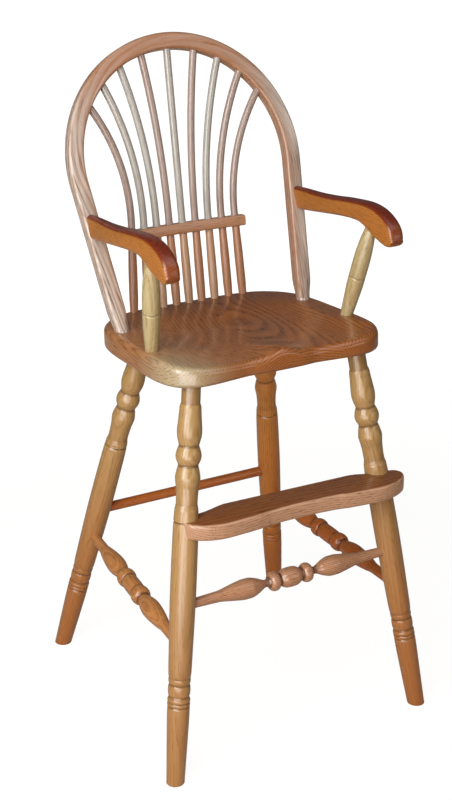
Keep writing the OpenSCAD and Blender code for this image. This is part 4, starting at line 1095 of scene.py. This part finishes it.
def makeBar():
    def crossing(k):
        s = spindleSizes(k)
        lift = Vector((0, math.sin(s["back"]), math.cos(s["back"]))) * bar["height"]
        return s["foot"] + lift + Vector((k * bar["pitch"] - spindle["feet"][k], 0, 0))

    middle, outer = crossing(0), crossing(4)
    sag = middle.y - outer.y
    radius = (outer.x ** 2 + sag ** 2) / (2 * sag)
    half = math.asin(bar["length"] / 2 / radius)
    section = roundedRing(bar["thick"], bar["width"], bar["round"], bar["roundSteps"])
    lean = Matrix.Translation(middle) @ Matrix.Rotation(-spindleSizes(0)["back"], 4, "X")

    # Point of the bar at an angle round its bend, n through its thickness and u up
    def onBar(angle, n=0.0, u=0.0):
        r = radius + n
        return onSeat(lean @ Vector((r * math.sin(angle), r * math.cos(angle) - radius, u)))

    # Ends eased by a small chamfer
    scale, edge = bar["chamferScale"], half - bar["chamferTurn"]
    angles = [mix(edge, -edge, i / bar["steps"]) for i in range(bar["steps"] + 1)]
    rings = [[onBar(angle, n, u) for n, u in section] for angle in angles]
    for at, angle in ((0, half), (len(rings) + 1, -half)):
        rings.insert(at, [onBar(angle, n * scale, u * scale) for n, u in section])
    place(skinPiece("crossBar", rings, [onBar(half), onBar(-half)]), "spindle_bar", barOak)


makeBar()
print("bar made")

arm = {
    "height": 169.0, "endDepth": 34.5, "noseOut": 12.5, "backWidth": 14.5, "frontWidth": 24.0,
    "frontX": 177.5, "round": 7.0, "roundMost": 0.45, "flare": 0.55, "gap": 0.12,
    "roundSteps": 7, "steps": 6, "creaseAngle": 50,
    # the nose narrows to a share of the width between two shares of the length, and bulges in mm
    "noseWidth": 0.8, "noseFrom": 0.955, "noseTo": 1.02, "noseBulge": (-1.5, -1.0),
    # along the top edge and along the underside: share of the arm's length from the bow,
    # and height above the arm's top at the bow as a share of its end's depth
    "shape": [
        (0.116, 0.009, 0.143, -0.951), (0.265, -0.006, 0.256, -0.87), (0.415, 0.035, 0.4, -0.768),
        (0.508, 0.096, 0.512, -0.704), (0.594, 0.136, 0.594, -0.684), (0.695, 0.171, 0.677, -0.713),
        (0.759, 0.159, 0.737, -0.858), (0.808, 0.113, 0.782, -1.014), (0.853, 0.035, 0.819, -1.157),
        (0.905, -0.122, 0.856, -1.264), (0.95, -0.342, 0.893, -1.357), (0.982, -0.597, 0.926, -1.42),
        (0.998, -0.884, 0.955, -1.426), (1.002, -1.113, 0.981, -1.351),
    ],
}
armNoseY = -seat["front"] - arm["noseOut"]
armStartY = bowFaceY(arm["height"]) - arm["gap"]
armLength = armStartY - armNoseY


# Stations along the arm: Y and Z of its top edge and of its underside, and the share of its length
def armStations():
    low = arm["height"] - arm["endDepth"]
    stations = [(armStartY, arm["height"], bowFaceY(low) - arm["gap"], low, 0.0)]
    for topShare, topRise, underShare, underRise in arm["shape"]:
        stations.append((
            armStartY - topShare * armLength, arm["height"] + topRise * arm["endDepth"],
            armStartY - underShare * armLength, arm["height"] + underRise * arm["endDepth"],
            (topShare + underShare) / 2,
        ))
    return stations


def armHalfWidth(share):
    flared = mix(arm["backWidth"], arm["frontWidth"], smooth01(share / arm["flare"]))
    nose = smooth01((share - arm["noseFrom"]) / (arm["noseTo"] - arm["noseFrom"]))
    return flared / 2 * mix(1, arm["noseWidth"], nose)


def armMidX(share):
    return mix(bowLegMid(arm["height"]), arm["frontX"], smooth01(share / arm["flare"]))


def makeArms():
    stations = openCurve(armStations(), arm["steps"])
    for side, name in ((1, "right"), (-1, "left")):
        rings, middles = [], []
        for topY, topZ, underY, underZ, share in stations:
            top, under = Vector((topY, topZ)), Vector((underY, underZ))
            middle, way = (top + under) / 2, (top - under).normalized()
            x, depth = armMidX(share), (top - under).length
            radius = min(arm["round"], arm["roundMost"] * depth)
            section = roundedRing(2 * armHalfWidth(share), depth, radius, arm["roundSteps"])
            rings.append([onSeat((side * (x + out), middle.x + up * way.x, middle.y + up * way.y))
                          for out, up in section])
            middles.append((side * x, middle.x, middle.y))
        tips = [onSeat(middles[0]), onSeat(Vector(middles[-1]) + Vector((0, *arm["noseBulge"])))]
        piece = skinPiece(f"sawnArm.{name}", rings, tips, creaseAngle=arm["creaseAngle"])
        place(piece, f"arm_{name}", armOak)


makeArms()
print("arms made")

post = {
    "sideIn": 17.5, "edgeIn": 99.0, "noseIn": 68.0, "scoreDepth": 1.0, "diameter": 25.5, "footDiameter": 19.0,
    "topDiameter": 16.0, "tenon": 16.0, "rightSeed": 71, "leftSeed": 76,
}


def armUnderside(y):
    points = sorted((underY, underZ) for topY, topZ, underY, underZ, share in armStations())
    for (y0, z0), (y1, z1) in zip(points, points[1:]):
        if y0 <= y <= y1:
            return mix(z0, z1, (y - y0) / (y1 - y0))
    return points[-1][1]


def makePosts():
    headY = armNoseY + post["noseIn"]
    foot = Vector((seat["width"] / 2 - post["sideIn"], post["edgeIn"] - seat["front"], 0))
    head = Vector((arm["frontX"], headY, armUnderside(headY)))
    free = (head - foot).length
    d, footD, topD = post["diameter"], post["footDiameter"], post["topDiameter"]
    profile = [(footD / 2, -post["tenon"])] + turnedCurve([
        (1, footD), (0.14 * free, 0.845 * d), (0.2 * free, 0.885 * d), (0.33 * free, 0.975 * d),
        (0.436 * free, 0.99 * d)])
    profile += [(0.99 * d / 2 - post["scoreDepth"], 0.445 * free)]
    profile += turnedCurve([
        (0.454 * free, 0.99 * d), (0.61 * free, d), (0.75 * free, 0.94 * d), (0.88 * free, 0.81 * d),
        (0.97 * free, topD + 0.6)])
    profile += [(topD / 2, free - 2), (topD / 2, free + post["tenon"])]
    for side, name in ((1, "right"), (-1, "left")):
        ends = [Vector(onSeat((side * p.x, p.y, p.z))) for p in (foot, head)]
        piece = turnedPiece(f"armPost.{name}", *ends, profile, post[name + "Seed"])
        place(piece, f"arm_post_{name}", postOak)


makePosts()
print("posts made")

# Camera, as in the photograph, whose frame is 452 by 800
camera = {
    "azimuth": -28.64, "elevation": 21.94, "distance": 2.2559, "target": (0, 0.020, 0.500),
    "focalPixels": 1480.25, "frameHeight": 800, "principalY": 383.49, "sensor": 36.0,
}


# Stands a camera or lamp off from its target, at degrees round the chair and up, and points it there
def aim(thing, view):
    a, e = math.radians(view["azimuth"]), math.radians(view["elevation"])
    back = Vector((math.sin(a) * math.cos(e), -math.cos(a) * math.cos(e), math.sin(e)))
    thing.location = Vector(view["target"]) + back * view["distance"]
    thing.rotation_euler = back.to_track_quat("Z", "Y").to_euler()


def makeCamera():
    data = bpy.data.cameras.new("camera")
    data.sensor_fit = "VERTICAL"
    data.sensor_height = camera["sensor"]
    data.lens = camera["focalPixels"] * camera["sensor"] / camera["frameHeight"]
    data.shift_y = -(camera["frameHeight"] / 2 - camera["principalY"]) / camera["frameHeight"]
    viewer = linked("camera", data)
    aim(viewer, camera)
    bpy.context.scene.camera = viewer


makeCamera()

studio = {
    "floorSize": 40.0, "floorColor": "#b5afa6", "white": (1, 1, 1, 1),
    # the floor's own glow, for the camera alone: its strength, and its share near the chair and far off
    "glow": 1.24, "nearGlow": 0.75, "farGlow": 0.86, "nearFloor": 0.7, "farFloor": 2.2,
    "worldStrength": 0.12, "worldSeen": 1.02,
}
coolLight, warmLight = "#cfe2f4", "#ffc490"
lampBase = {"target": (0, 0, 0.6), "color": "#f4f6f4", "diffuse": True, "glossy": True}
lowTarget = (0, 0, 0.25)
lamps = (
    {"name": "key", "azimuth": -56, "elevation": 28, "distance": 1.9, "size": (1.4, 1.7), "power": 56.0},
    {"name": "fill", "azimuth": 28, "elevation": 12, "distance": 2.6, "size": (1.0, 0.7), "power": 6.0},
    {"name": "top", "azimuth": -20, "elevation": 80, "distance": 1.9, "size": (1.2, 1.2), "power": 3.5},
    {"name": "low", "azimuth": -35, "elevation": 3, "distance": 2.0, "size": (1.6, 0.5), "power": 7.0,
     "target": lowTarget, "color": warmLight},
    # Weak lamps for the far sides, which the varnish doesn't show
    {"name": "back", "azimuth": 165, "elevation": 1, "distance": 2.6, "size": (1.4, 1.0), "power": 26.0,
     "glossy": False},
    {"name": "side", "azimuth": 95, "elevation": 3, "distance": 2.6, "size": (1.0, 1.0), "power": 9.0,
     "glossy": False},
    # A small lamp whose gleam lies on the left arm's nose
    {"name": "gleam", "azimuth": 50, "elevation": 54, "distance": 1.25, "size": (0.8, 0.8), "power": 4.0,
     "target": (-0.17, -0.16, 0.74), "color": coolLight, "diffuse": False},
    # A cool window and a white card on the floor, which only the varnish shows
    {"name": "window", "azimuth": -72, "elevation": 20, "distance": 2.0, "size": (0.7, 1.9), "power": 21.0,
     "color": coolLight, "diffuse": False},
    {"name": "card", "azimuth": -42, "elevation": 2, "distance": 1.5, "size": (1.5, 0.8), "power": 21.0,
     "target": lowTarget, "color": coolLight, "diffuse": False},
)


def makeLamps():
    for row in lamps:
        lamp = dict(lampBase, **row)
        data = bpy.data.lights.new(lamp["name"], "AREA")
        data.color = srgb(lamp["color"])[:3]
        data.shape = "RECTANGLE"
        data.size, data.size_y = lamp["size"]
        data.energy = lamp["power"]
        light = linked(lamp["name"], data)
        light.visible_diffuse = lamp["diffuse"]
        light.visible_glossy = lamp["glossy"]
        aim(light, lamp)


# Pale matt floor, which glows for the camera alone, so that it is pale and still takes the shadow
def makeFloor():
    half = studio["floorSize"] / 2
    mesh = bpy.data.meshes.new("floor")
    mesh.from_pydata([(-half, -half, 0), (half, -half, 0), (half, half, 0), (-half, half, 0)],
                     [], [(0, 1, 2, 3)])
    floor = linked("floor", mesh)
    material = bpy.data.materials.new("pale studio floor")
    tree = emptyTree(material)
    matt = addNode(tree, "ShaderNodeBsdfDiffuse", {"Color": srgb(studio["floorColor"])}, 0)
    glow = addNode(tree, "ShaderNodeEmission", {"Color": studio["white"], "Strength": studio["glow"]}, 0)
    spot = addNode(tree, "ShaderNodeTexCoord", out="Object")
    away = addNode(tree, "ShaderNodeVectorMath", {0: spot}, "Value", operation="LENGTH")
    share = addNode(tree, "ShaderNodeMapRange", {
        "Value": away, "From Min": studio["nearFloor"], "From Max": studio["farFloor"],
        "To Min": studio["nearGlow"], "To Max": studio["farGlow"]
    }, 0, interpolation_type="SMOOTHSTEP")
    seen = addNode(tree, "ShaderNodeLightPath", out="Is Camera Ray")
    share = addNode(tree, "ShaderNodeMath", {0: seen, 1: share}, 0, operation="MULTIPLY")
    both = addNode(tree, "ShaderNodeMixShader", {0: share, 1: matt, 2: glow}, 0)
    addNode(tree, "ShaderNodeOutputMaterial", {"Surface": both})
    mesh.materials.append(material)


# White behind the chair for the camera, and a weak even light on it
def makeWorld():
    world = bpy.data.worlds.new("studio")
    bpy.context.scene.world = world
    tree = emptyTree(world)
    seen = addNode(tree, "ShaderNodeLightPath", out="Is Camera Ray")
    strength = addNode(tree, "ShaderNodeMapRange", {
        "Value": seen, "To Min": studio["worldStrength"], "To Max": studio["worldSeen"]
    }, 0)
    light = addNode(tree, "ShaderNodeBackground", {"Color": studio["white"], "Strength": strength}, 0)
    addNode(tree, "ShaderNodeOutputWorld", {"Surface": light})


makeFloor()
makeWorld()
makeLamps()
bpy.context.scene.view_settings.view_transform = "Standard"
print("studio made")
